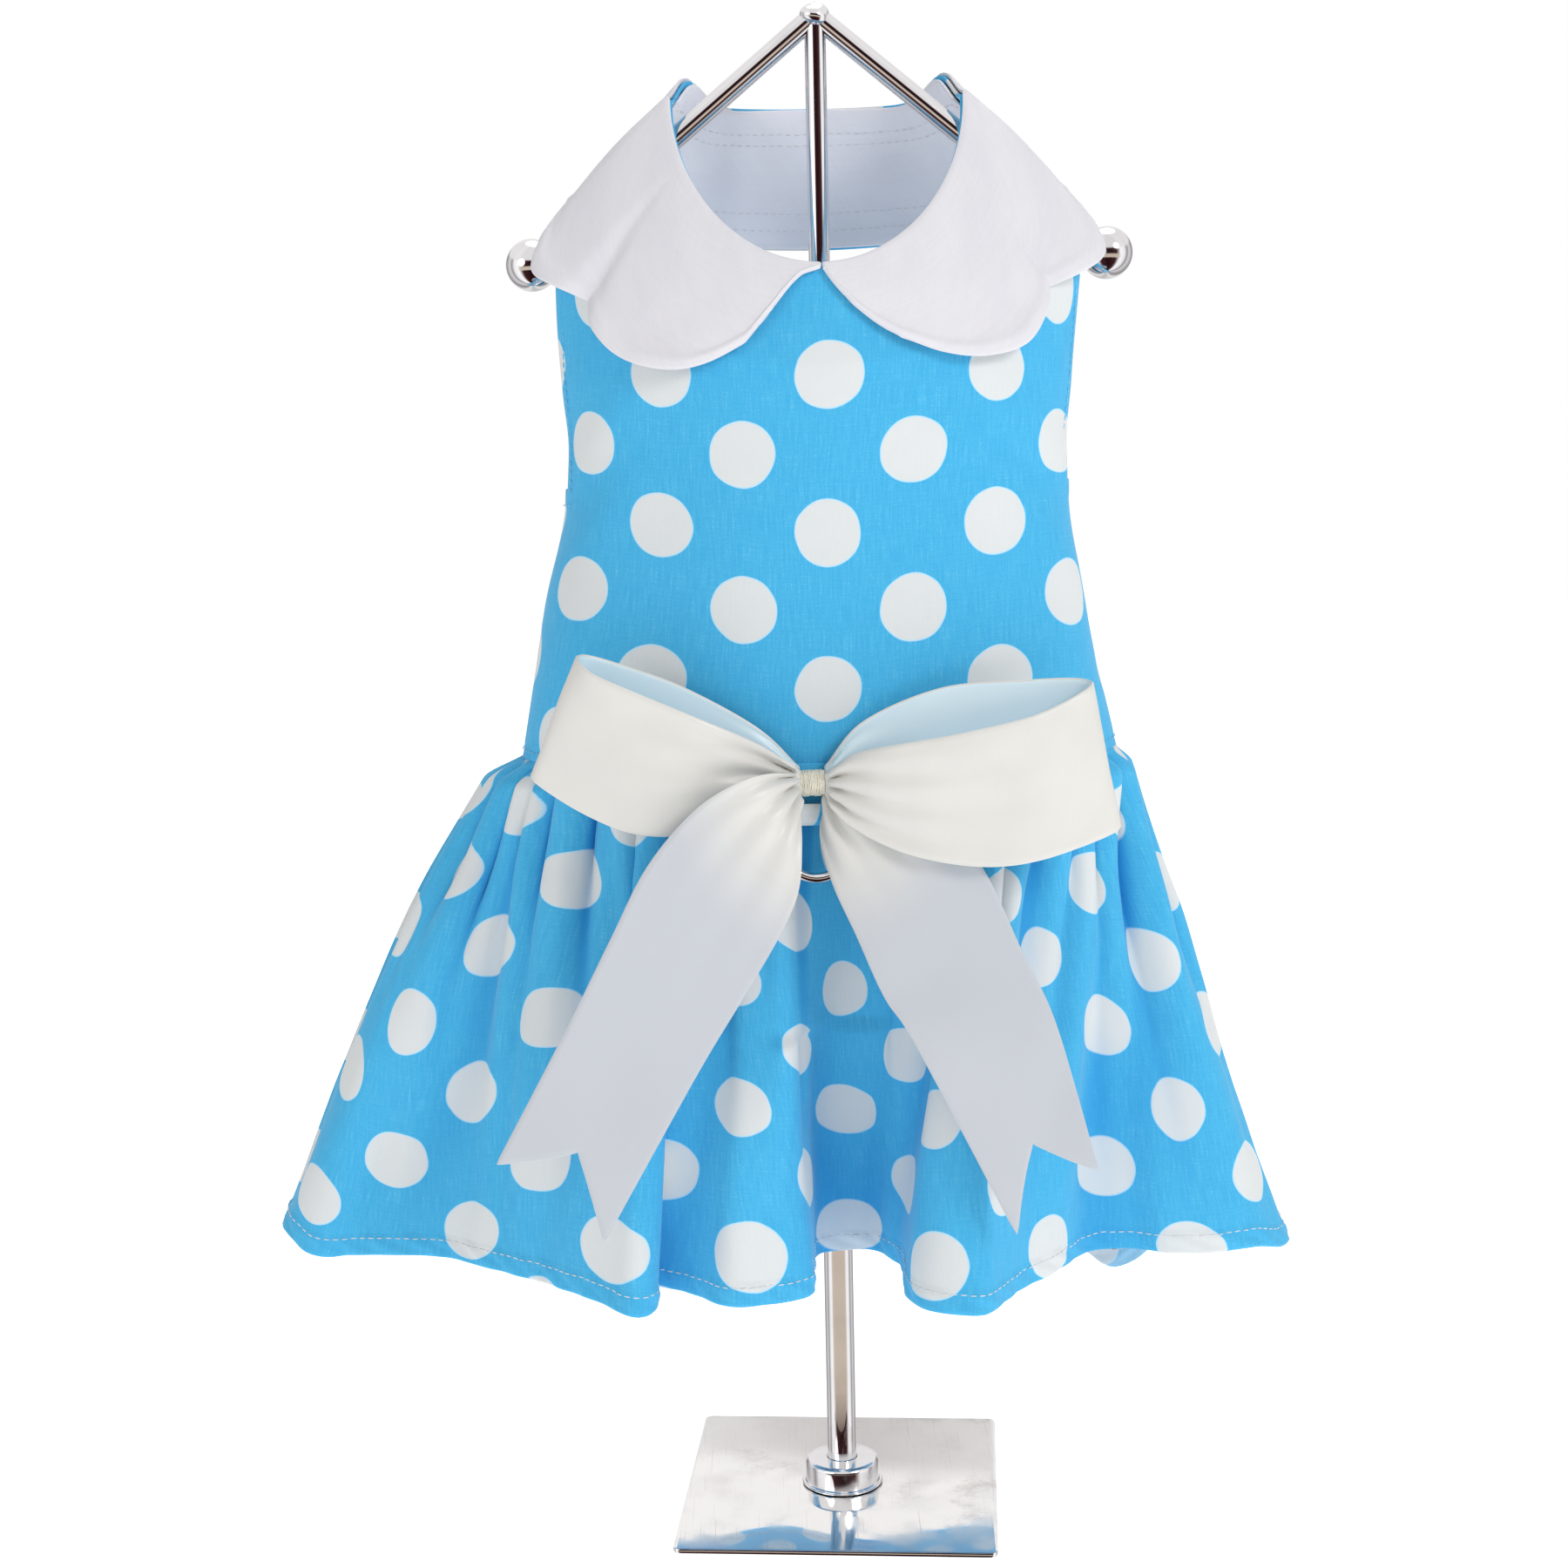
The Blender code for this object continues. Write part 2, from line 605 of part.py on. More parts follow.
# Bow: two loops, two notched tails and the bound knot
def build_bow():
    ribbon("bow_loop_left", LOOP_LEFT, 24)
    ribbon("bow_loop_right", LOOP_RIGHT, 24)
    ribbon("bow_tail_left", TAIL_LEFT, 14, TAIL_NOTCH)
    ribbon("bow_tail_right", TAIL_RIGHT, 14, TAIL_NOTCH)
    profile = [(0, -KNOT_HALF)]
    for k in range(KNOT_TURNS):
        z = -KNOT_HALF + 2 * KNOT_HALF * k / KNOT_TURNS
        wide = 2 * KNOT_HALF / KNOT_TURNS
        profile += [(KNOT_R - KNOT_GROOVE, z), (KNOT_R, z + wide * 0.3), (KNOT_R, z + wide * 0.7)]
    profile += [(KNOT_R - KNOT_GROOVE, KNOT_HALF), (0, KNOT_HALF)]
    frame = Matrix.Translation(KNOT) @ Matrix.Rotation(math.pi / 2, 4, "Y")
    place("bow_knot", lathe(profile, 14, frame), SATIN, 0.0, 0.5)


# Leash ring: a wire D whose straight bar lies in a folded tab
def build_ring():
    line = []
    for k in range(17):
        a = math.pi * k / 16
        line.append((RING_HALF * math.cos(a), -RING_ARC_DOWN * math.sin(a) ** 0.8))
    bar = 6
    for k in range(1, bar):
        line.append((-RING_HALF + 2 * RING_HALF * k / bar, 0.0))
    count = len(line)
    bm = bmesh.new()
    loops = []
    for k, (x, z) in enumerate(line):
        before, after = Vector(line[k - 1]), Vector(line[(k + 1) % count])
        run = (after - before).normalized()
        side = Vector((run.y, 0, -run.x))
        centre = Vector((x - RING_TO_LEFT, RING_Y, RING_BAR_Z + z))
        loop = []
        for m in range(WIRE_SIDES):
            a = 2 * math.pi * m / WIRE_SIDES
            offset = side * math.cos(a) + Vector((0, 1, 0)) * math.sin(a)
            loop.append(bm.verts.new(centre + offset * RING_WIRE_R))
        loops.append(loop)
    for one, two in zip(loops, loops[1:] + loops[:1]):
        for m in range(WIRE_SIDES):
            n = (m + 1) % WIRE_SIDES
            bm.faces.new([one[m], one[n], two[n], two[m]])
    steel("d_ring", bm)

    radius = RING_WIRE_R + GAP + TAB_THICK / 2
    path = [(radius, TAB_UP), (radius, TAB_UP / 2)]
    for k in range(11):
        a = -math.pi * k / 10
        path.append((radius * math.cos(a), radius * math.sin(a)))
    path = [(-y, z) for y, z in path]
    path += [(radius, TAB_UP / 2), (radius, TAB_UP), (radius, TAB_TOP / 2), (radius, TAB_TOP)]
    grid = np.zeros((len(path), 2, 3))
    for j, (y, z) in enumerate(path):
        grid[j, :, 1] = RING_Y + y
        grid[j, :, 2] = RING_BAR_Z + z
    grid[:, 0, 0] = -RING_TO_LEFT - TAB_HALF
    grid[:, 1, 0] = TAB_HALF - RING_TO_LEFT
    walls("ring_tab", grid, grid_normals(grid, False), TAB_THICK, SKY)


build_plate()
build_stand()
build_bodice()
build_straps()
build_collar()
build_skirt()
build_bow()
build_ring()
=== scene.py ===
import math

import bpy
import numpy as np
from mathutils import Matrix, Vector


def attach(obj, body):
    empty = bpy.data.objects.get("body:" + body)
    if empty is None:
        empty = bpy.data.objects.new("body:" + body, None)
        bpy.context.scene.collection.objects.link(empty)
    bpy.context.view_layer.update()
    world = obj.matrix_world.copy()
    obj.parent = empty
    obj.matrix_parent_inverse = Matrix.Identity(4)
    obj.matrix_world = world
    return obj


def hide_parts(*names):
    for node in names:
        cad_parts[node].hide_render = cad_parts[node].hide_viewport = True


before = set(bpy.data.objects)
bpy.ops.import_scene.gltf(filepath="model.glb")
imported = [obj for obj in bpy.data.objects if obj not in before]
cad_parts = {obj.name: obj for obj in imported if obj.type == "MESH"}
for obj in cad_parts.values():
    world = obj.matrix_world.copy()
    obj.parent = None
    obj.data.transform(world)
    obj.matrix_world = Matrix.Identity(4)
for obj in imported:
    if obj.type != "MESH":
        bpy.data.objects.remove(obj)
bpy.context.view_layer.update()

inch = 0.0254
gap = 0.0003
print("dress: frame loaded")


# small helpers for nodes, meshes and trees
def put(tree, kind, wires=None, **settings):
    node = tree.nodes.new(kind)
    for key, value in settings.items():
        setattr(node, key, value)
    for key, value in (wires or {}).items():
        if isinstance(value, bpy.types.NodeSocket):
            tree.links.new(value, node.inputs[key])
        else:
            node.inputs[key].default_value = value
    return node


def sums(tree, operation, *values, clamp=False):
    wires = dict(enumerate(values))
    return put(tree, "ShaderNodeMath", wires, operation=operation, use_clamp=clamp).outputs[0]


def ramp(tree, value, low, high, start=0.0, end=1.0, smooth=True):
    wires = {"Value": value, "From Min": low, "From Max": high, "To Min": start, "To Max": end}
    style = "SMOOTHSTEP" if smooth else "LINEAR"
    return put(tree, "ShaderNodeMapRange", wires, interpolation_type=style).outputs[0]


def blendColour(tree, share, one, two):
    node = put(tree, "ShaderNodeMix", data_type="RGBA")
    for key, value in (("Factor", share), ("A", one), ("B", two)):
        socket = next(s for s in node.inputs if s.name == key and s.enabled)
        if isinstance(value, bpy.types.NodeSocket):
            tree.links.new(value, socket)
        else:
            socket.default_value = value
    return next(s for s in node.outputs if s.enabled)


def newFinish(name):
    made = bpy.data.materials.new(name)
    made.use_nodes = True
    return made, made.node_tree, made.node_tree.nodes["Principled BSDF"]


def geometryTree(name, inputs):
    tree = bpy.data.node_groups.new(name, "GeometryNodeTree")
    tree.interface.new_socket("Geometry", in_out="INPUT", socket_type="NodeSocketGeometry")
    for label, kind, value in inputs:
        socket = tree.interface.new_socket(label, in_out="INPUT", socket_type="NodeSocket" + kind)
        if value is not None:
            socket.default_value = value
    tree.interface.new_socket("Geometry", in_out="OUTPUT", socket_type="NodeSocketGeometry")
    return tree, tree.nodes.new("NodeGroupInput").outputs, tree.nodes.new("NodeGroupOutput").inputs


def bakeTree(piece, tree, settings):
    # sets the tree's inputs by their identifiers, and swaps the result in as a plain mesh
    modifier = piece.modifiers.new(tree.name, "NODES")
    modifier.node_group = tree
    for item in tree.interface.items_tree:
        if item.item_type == "SOCKET" and item.in_out == "INPUT" and item.name in settings:
            modifier[item.identifier] = settings[item.name]
    graph = bpy.context.evaluated_depsgraph_get()
    graph.update()
    baked = bpy.data.meshes.new_from_object(piece.evaluated_get(graph))
    piece.modifiers.remove(modifier)
    old = piece.data
    piece.data = baked
    bpy.data.meshes.remove(old)
    baked.name = piece.name
    return piece


def addPiece(name, points, faces, finishes, faceFinish=None, uv=None, crease=62):
    mesh = bpy.data.meshes.new(name)
    mesh.from_pydata(np.asarray(points).tolist(), [], faces)
    for finish in finishes:
        mesh.materials.append(finish)
    if faceFinish is not None:
        mesh.polygons.foreach_set("material_index", np.asarray(faceFinish, np.int32))
    mesh.polygons.foreach_set("use_smooth", np.ones(len(mesh.polygons), bool))
    if uv is not None:
        mesh.uv_layers.new(name="clothUv").data.foreach_set("uv", np.asarray(uv, np.float32).ravel())
    mesh.update()
    mesh.set_sharp_from_angle(angle=math.radians(crease))
    piece = bpy.data.objects.new(name, mesh)
    bpy.context.scene.collection.objects.link(piece)
    return piece


def hand(piece, slot, *nodes):
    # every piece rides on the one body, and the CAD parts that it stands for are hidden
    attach(piece, "root")
    if nodes:
        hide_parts(*nodes)
    return piece


def smoothAt(rows, where):
    rows = np.asarray(rows, float)
    where = np.clip(np.asarray(where, float), 0, len(rows) - 1)
    low = np.minimum(where.astype(int), len(rows) - 2)
    f = (where - low)[..., None]
    p1, p2 = rows[low], rows[low + 1]
    p0 = np.where((low > 0)[..., None], rows[np.maximum(low - 1, 0)], 2 * p1 - p2)
    last = (low + 2 > len(rows) - 1)[..., None]
    p3 = np.where(last, 2 * p2 - p1, rows[np.minimum(low + 2, len(rows) - 1)])
    return p1 + 0.5 * f * (p2 - p0 + f * (2 * p0 - 5 * p1 + 4 * p2 - p3 + f * (3 * (p1 - p2) + p3 - p0)))


def unit(vectors):
    return vectors / np.maximum(np.linalg.norm(vectors, axis=-1, keepdims=True), 1e-12)


def gridNormals(grid, wrap):
    along = np.roll(grid, -1, axis=1) - np.roll(grid, 1, axis=1) if wrap else np.gradient(grid, axis=1)
    return unit(np.cross(np.gradient(grid, axis=0), along))


def bump(value, middle, wide):
    return np.exp(-(((value - middle) / wide) ** 2))


def ease(value, low, high):
    share = np.clip((value - low) / (high - low), 0, 1)
    return share * share * (3 - 2 * share)


def ripple(u, v, pitch, seed, waves=7):
    # soft uneven waves, about -1 to 1, from a few crossed sines
    rng = np.random.default_rng(seed)
    total = np.zeros(np.broadcast(u, v).shape)
    for turn, size, start in zip(rng.uniform(0, math.pi, waves), rng.uniform(0.6, 1.6, waves),
                                 rng.uniform(0, 6.3, waves)):
        total += np.sin((u * math.cos(turn) + v * math.sin(turn)) * 2 * math.pi / (pitch * size) + start)
    return total / waves * 1.6


def runLength(grid, axis):
    # distance along the grid's rows or columns from its first line
    steps = np.linalg.norm(np.diff(grid, axis=axis), axis=-1)
    first = np.zeros_like(np.take(steps, [0], axis=axis))
    return np.concatenate([first, np.cumsum(steps, axis=axis)], axis=axis)


def clothWalls(name, middle, normal, thick, place, finishes, wrap=False, keep=None, curl=0.42):
    # cloth of this thickness about a grid of points, with a rounded rim and the cut's own places
    rows, columns = middle.shape[:2]
    thick = np.broadcast_to(np.asarray(thick, float), (rows, columns))
    half = (thick / 2)[..., None]
    cells = np.ones((rows - 1, columns if wrap else columns - 1), bool) if keep is None else keep
    j, i = np.nonzero(cells)
    n = (i + 1) % columns
    quads = np.stack([j * columns + i, j * columns + n, (j + 1) * columns + n, (j + 1) * columns + i], -1)
    spots = np.stack([place[j, i], place[j, i + 1], place[j + 1, i + 1], place[j + 1, i]], 1)
    flat, way = middle.reshape(-1, 3), normal.reshape(-1, 3)
    turn = np.cross(flat[quads[:, 2]] - flat[quads[:, 0]], flat[quads[:, 3]] - flat[quads[:, 1]])
    if (turn * way[quads[:, 0]]).sum() < 0:
        quads, spots = quads[:, ::-1], spots[:, ::-1]
    total = rows * columns
    starts, ends = quads.ravel(), np.roll(quads, -1, axis=1).ravel()
    spotStart, spotEnd = spots.reshape(-1, 2), np.roll(spots, -1, axis=1).reshape(-1, 2)
    alone = ~np.isin(starts * total + ends, ends * total + starts)
    a, b, spotA, spotB = starts[alone], ends[alone], spotStart[alone], spotEnd[alone]
    edge, back = np.unique(np.concatenate([a, b]), return_inverse=True)
    out = np.zeros((len(edge), 3))
    side = unit(np.cross(flat[b] - flat[a], way[a]))
    np.add.at(out, back, np.concatenate([side, side]))
    rim = flat[edge] + unit(out) * curl * thick.ravel()[edge][:, None]
    ra, rb = 2 * total + back[: len(a)], 2 * total + back[len(a) :]
    points = np.concatenate([(middle + normal * half).reshape(-1, 3), (middle - normal * half).reshape(-1, 3), rim])
    rims = [np.stack([b, a, ra, rb], -1), np.stack([rb, ra, a + total, b + total], -1)]
    faces = np.concatenate([quads, quads[:, ::-1] + total, *rims])
    rimSpots = np.stack([spotB, spotA, spotA, spotB], 1)
    uv = np.concatenate([spots, spots[:, ::-1], rimSpots, rimSpots])
    inside = np.zeros(len(faces), int)
    if len(finishes) > 1:
        inside[len(quads) : 2 * len(quads)] = 1
    used, index = np.unique(faces, return_inverse=True)
    piece = addPiece(name, points[used], index.reshape(faces.shape).tolist(), finishes, inside, uv)
    return piece


def printPlaces(across, up, dots):
    # places on the printed cloth, eased so that the listed dots fall where they should
    known = np.asarray(dots, float)
    halfAcross, halfDown = dotPrint["pitchAcross"] / 2, dotPrint["pitchDown"] / 2
    spots = known[:, :2]
    shift = known[:, 2:] * (halfAcross, halfDown) - spots
    low, high = spots.min(0), spots.max(0)

    def trend(points):
        held = np.clip(points, low, high)
        return np.concatenate([np.ones_like(held[..., :1]), held], -1)

    def near(points):
        apart = points[..., None, :] - spots
        return np.exp(-(apart ** 2).sum(-1) / dotPrint["easeReach"] ** 2)

    slope = np.linalg.lstsq(trend(spots), shift, rcond=None)[0]
    left = shift - trend(spots) @ slope
    pull = np.linalg.solve(near(spots) + 0.5 * np.eye(len(spots)), left)
    points = np.stack([across, up], -1)
    return points + trend(points) @ slope + near(points) @ pull


def clothPlaces(across, down):
    return np.stack([across, down], -1)


# finishes
dotPrint = {
    "pitchAcross": 0.0515,
    "pitchDown": 0.0466,
    "easeReach": 0.060,
    "dotRadius": 0.0097,
    "edgeSoft": 0.00016,
    "edgeWander": 0.0006,
    "haloWide": 0.0004,
    "sky": (0.078, 0.475, 0.775, 1),
    "skyDeep": (0.048, 0.400, 0.730, 1),
    "dot": (0.71, 0.73, 0.73, 1),
    "halo": (0.62, 0.84, 0.95, 1),
    "backFade": 0.45,
    "threadPitch": 0.00042,
}


def weaveHeight(tree, place, pitch):
    # plain weave: threads pass over one another in both directions
    split = put(tree, "ShaderNodeSeparateXYZ", {0: place}).outputs
    across = sums(tree, "SINE", sums(tree, "MULTIPLY", split[0], 2 * math.pi / pitch))
    down = sums(tree, "SINE", sums(tree, "MULTIPLY", split[1], 2 * math.pi / pitch))
    return sums(tree, "MULTIPLY", across, down)


def streaks(tree, place, fine, long, detail=2.0):
    # uneven threads, long one way and fine the other
    stretched = put(tree, "ShaderNodeMapping", {"Vector": place, "Scale": (1 / fine, 1 / long, 1)}).outputs[0]
    return put(tree, "ShaderNodeTexNoise", {"Vector": stretched, "Scale": 1.0, "Detail": detail}).outputs["Fac"]


def dotDistance(tree, place):
    split = put(tree, "ShaderNodeSeparateXYZ", {0: place}).outputs
    found = []
    for shift in (0.5, 0.0):
        legs = []
        for axis, pitch in ((0, dotPrint["pitchAcross"]), (1, dotPrint["pitchDown"])):
            turns = sums(tree, "ADD", sums(tree, "DIVIDE", split[axis], pitch), shift)
            legs.append(sums(tree, "MULTIPLY", sums(tree, "SUBTRACT", sums(tree, "FRACT", turns), 0.5), pitch))
        squares = [sums(tree, "POWER", sums(tree, "ABSOLUTE", leg), 2.0) for leg in legs]
        found.append(sums(tree, "SQRT", sums(tree, "ADD", *squares)))
    return sums(tree, "MINIMUM", *found)


def dottedCotton(name, inner=False):
    made, tree, shader = newFinish(name)
    place = put(tree, "ShaderNodeUVMap", uv_map="clothUv").outputs[0]
    wander = put(tree, "ShaderNodeTexNoise", {"Vector": place, "Scale": 90.0, "Detail": 1.0}).outputs["Fac"]
    wobble = sums(tree, "MULTIPLY", sums(tree, "SUBTRACT", wander, 0.5), dotPrint["edgeWander"] * 2)
    distance = sums(tree, "ADD", dotDistance(tree, place), wobble)
    radius, soft = dotPrint["dotRadius"], dotPrint["edgeSoft"]
    mask = ramp(tree, distance, radius + soft, radius - soft)
    wide = radius + dotPrint["haloWide"]
    halo = ramp(tree, distance, wide + soft, wide - soft)
    threads = streaks(tree, place, 0.00055, 0.009)
    crossed = streaks(tree, place, 0.008, 0.00060)
    grain = put(tree, "ShaderNodeTexNoise", {"Vector": place, "Scale": 1700.0, "Detail": 2.0}).outputs["Fac"]
    broad = put(tree, "ShaderNodeTexNoise", {"Vector": place, "Scale": 22.0, "Detail": 3.0}).outputs["Fac"]
    slub = sums(tree, "ADD", sums(tree, "MULTIPLY", threads, 0.45), sums(tree, "MULTIPLY", crossed, 0.2))
    slub = sums(tree, "ADD", slub, sums(tree, "MULTIPLY", grain, 0.35))
    blue = blendColour(tree, ramp(tree, slub, 0.34, 0.66), dotPrint["skyDeep"], dotPrint["sky"])
    pale = blendColour(tree, ramp(tree, slub, 0.54, 0.72, 0.0, 0.16), blue, (0.50, 0.80, 0.97, 1))
    shade = blendColour(tree, ramp(tree, broad, 0.3, 0.75, 0.0, 0.07), pale, (0.12, 0.53, 0.86, 1))
    dot = blendColour(tree, ramp(tree, slub, 0.34, 0.66, 0.22, 0.0), dotPrint["dot"], (0.57, 0.66, 0.74, 1))
    rimmed = blendColour(tree, sums(tree, "MULTIPLY", halo, 0.75), shade, dotPrint["halo"])
    colour = blendColour(tree, mask, rimmed, dot)
    # painted shade: cloth deep in a gather is painted a darker blue, and its dots a greyer white
    fold = put(tree, "ShaderNodeAttribute", attribute_name="foldDepth").outputs["Fac"]
    deep = blendColour(tree, mask, (0.010, 0.250, 0.620, 1), (0.42, 0.56, 0.70, 1))
    colour = blendColour(tree, ramp(tree, fold, -0.05, -0.75, 0.0, 0.80), colour, deep)
    if inner:
        colour = blendColour(tree, dotPrint["backFade"], colour, (0.60, 0.78, 0.92, 1))
    tree.links.new(colour, shader.inputs["Base Color"])
    weave = weaveHeight(tree, place, dotPrint["threadPitch"])
    height = sums(tree, "ADD", sums(tree, "MULTIPLY", weave, 0.35), sums(tree, "MULTIPLY", slub, 1.2))
    relief = put(tree, "ShaderNodeBump", {"Height": height, "Strength": 0.35, "Distance": 0.00012})
    tree.links.new(relief.outputs[0], shader.inputs["Normal"])
    tree.links.new(ramp(tree, slub, 0.3, 0.7, 0.78, 0.92), shader.inputs["Roughness"])
    shader.inputs["Sheen Weight"].default_value = 0.18
    shader.inputs["Sheen Roughness"].default_value = 0.4
    shader.inputs["Specular IOR Level"].default_value = 0.25
    return made


def whiteCotton(name, colour=(0.75, 0.74, 0.77, 1), shadow=(0.61, 0.60, 0.68, 1)):
    made, tree, shader = newFinish(name)
    place = put(tree, "ShaderNodeUVMap", uv_map="clothUv").outputs[0]
    threads = streaks(tree, place, 0.0010, 0.013)
    crossed = streaks(tree, place, 0.014, 0.0010)
    slub = sums(tree, "ADD", sums(tree, "MULTIPLY", threads, 0.5), sums(tree, "MULTIPLY", crossed, 0.5))
    broad = put(tree, "ShaderNodeTexNoise", {"Vector": place, "Scale": 35.0, "Detail": 3.0}).outputs["Fac"]
    grey = sums(tree, "ADD", ramp(tree, slub, 0.35, 0.65, 0.16, 0.0), ramp(tree, broad, 0.35, 0.7, 0.22, 0.0))
    tree.links.new(blendColour(tree, grey, colour, shadow), shader.inputs["Base Color"])
    weave = weaveHeight(tree, place, 0.00038)
    height = sums(tree, "ADD", sums(tree, "MULTIPLY", weave, 0.4), sums(tree, "MULTIPLY", slub, 1.0))
    relief = put(tree, "ShaderNodeBump", {"Height": height, "Strength": 0.3, "Distance": 0.0001})
    tree.links.new(relief.outputs[0], shader.inputs["Normal"])
    tree.links.new(ramp(tree, slub, 0.3, 0.7, 0.7, 0.88), shader.inputs["Roughness"])
    shader.inputs["Sheen Weight"].default_value = 0.12
    shader.inputs["Specular IOR Level"].default_value = 0.3
    return made


def satinRibbon(name, colour=(0.71, 0.70, 0.665, 1), shadow=(0.58, 0.57, 0.55, 1), far=None):
    made, tree, shader = newFinish(name)
    place = put(tree, "ShaderNodeUVMap", uv_map="clothUv").outputs[0]
    ribs = streaks(tree, place, 0.012, 0.00024, 1.0)
    fine = streaks(tree, place, 0.0004, 0.020)
    broad = put(tree, "ShaderNodeTexNoise", {"Vector": place, "Scale": 45.0, "Detail": 2.0}).outputs["Fac"]
    mixed = sums(tree, "ADD", sums(tree, "MULTIPLY", ribs, 0.25), sums(tree, "MULTIPLY", broad, 0.75))
    grey = ramp(tree, mixed, 0.34, 0.66, 0.0, 0.22)
    tone = blendColour(tree, grey, colour, shadow)
    if far:
        # painted shade: the hanging ends are painted cooler and darker away from the binding
        run = put(tree, "ShaderNodeSeparateXYZ", {0: place}).outputs[1]
        tone = blendColour(tree, ramp(tree, run, -0.018, -0.052, 0.0, 0.9), tone, far)
    tree.links.new(tone, shader.inputs["Base Color"])
    height = sums(tree, "ADD", sums(tree, "MULTIPLY", ribs, 0.7), sums(tree, "MULTIPLY", fine, 0.3))
    relief = put(tree, "ShaderNodeBump", {"Height": height, "Strength": 0.10, "Distance": 0.00005})
    tree.links.new(relief.outputs[0], shader.inputs["Normal"])
    tree.links.new(ramp(tree, broad, 0.3, 0.7, 0.30, 0.40), shader.inputs["Roughness"])
    shader.inputs["Anisotropic"].default_value = 0.35
    shader.inputs["Specular IOR Level"].default_value = 0.5
    shader.inputs["Sheen Weight"].default_value = 0.1
    return made


def polishedSteel(name, scratch=0.0, tint=(0.80, 0.79, 0.80, 1)):
    made, tree, shader = newFinish(name)
    place = put(tree, "ShaderNodeTexCoord").outputs["Object"]
    smudge = put(tree, "ShaderNodeTexNoise", {"Vector": place, "Scale": 60.0, "Detail": 4.0}).outputs["Fac"]
    rough = ramp(tree, smudge, 0.42, 0.72, 0.05, 0.11 + scratch * 0.12)
    colour = blendColour(tree, ramp(tree, smudge, 0.4, 0.8, 0.0, 0.35), tint, (0.62, 0.60, 0.60, 1))
    if scratch:
        lines = []
        for turn in (0.5, 1.9):
            turned = put(tree, "ShaderNodeMapping", {"Vector": place, "Rotation": (0, 0, turn), "Scale": (2400, 26, 1)})
            fine = put(tree, "ShaderNodeTexNoise", {"Vector": turned.outputs[0], "Scale": 1.0, "Detail": 1.0})
            lines.append(ramp(tree, fine.outputs["Fac"], 0.66, 0.78))
        worn = put(tree, "ShaderNodeTexNoise", {"Vector": place, "Scale": 34.0, "Detail": 5.0, "Roughness": 0.7})
        patches = ramp(tree, worn.outputs["Fac"], 0.56, 0.70)
        drawn = sums(tree, "MULTIPLY", sums(tree, "MAXIMUM", *lines), 0.5)
        marks = sums(tree, "MAXIMUM", drawn, sums(tree, "MULTIPLY", patches, 0.6))
        colour = blendColour(tree, sums(tree, "MULTIPLY", marks, 0.5), colour, (0.44, 0.35, 0.29, 1))
        rough = sums(tree, "ADD", rough, sums(tree, "MULTIPLY", marks, 0.22))
    tree.links.new(colour, shader.inputs["Base Color"])
    tree.links.new(rough, shader.inputs["Roughness"])
    wave = put(tree, "ShaderNodeTexNoise", {"Vector": place, "Scale": 25.0, "Detail": 2.0}).outputs["Fac"]
    relief = put(tree, "ShaderNodeBump", {"Height": wave, "Strength": 0.12, "Distance": 0.0004})
    tree.links.new(relief.outputs[0], shader.inputs["Normal"])
    shader.inputs["Metallic"].default_value = 1.0
    return made


def sewingThread(name, colour):
    made, tree, shader = newFinish(name)
    place = put(tree, "ShaderNodeTexCoord").outputs["Object"]
    twist = put(tree, "ShaderNodeTexNoise", {"Vector": place, "Scale": 2600.0, "Detail": 1.0}).outputs["Fac"]
    darker = tuple(c * 0.8 for c in colour[:3]) + (1,)
    tree.links.new(blendColour(tree, ramp(tree, twist, 0.35, 0.65), darker, colour), shader.inputs["Base Color"])
    relief = put(tree, "ShaderNodeBump", {"Height": twist, "Strength": 0.4, "Distance": 0.00008})
    tree.links.new(relief.outputs[0], shader.inputs["Normal"])
    shader.inputs["Roughness"].default_value = 0.6
    return made


skyCotton = dottedCotton("sky_dotted_cotton")
skyCottonBack = dottedCotton("sky_dotted_cotton_back", inner=True)
collarCotton = whiteCotton("white_collar_cotton")
liningCotton = whiteCotton("white_lining_cotton", (0.86, 0.85, 0.90, 1), (0.72, 0.72, 0.82, 1))
bowSatin = satinRibbon("bow_satin")
# painted bounce light: the loops' inner faces, turned to the dress, are painted pale blue from it
bowSatinInnerBounce = satinRibbon("bow_satin_inner_bounce", (0.72, 0.86, 0.92, 1), (0.62, 0.78, 0.88, 1))
# the far tone is painted shade on the hanging ends
tailSatin = satinRibbon("tail_satin", far=(0.51, 0.54, 0.59, 1))
rodSteel = polishedSteel("polished_rod_steel")
plateSteel = polishedSteel("scratched_plate_steel", scratch=1.0, tint=(0.92, 0.91, 0.90, 1))
blueThread = sewingThread("sky_sewing_thread", (0.22, 0.62, 0.88, 1))
whiteThread = sewingThread("white_sewing_thread", (0.82, 0.82, 0.84, 1))
creamThread = sewingThread("cream_binding_thread", (0.80, 0.76, 0.64, 1))
print("dress: finishes made")


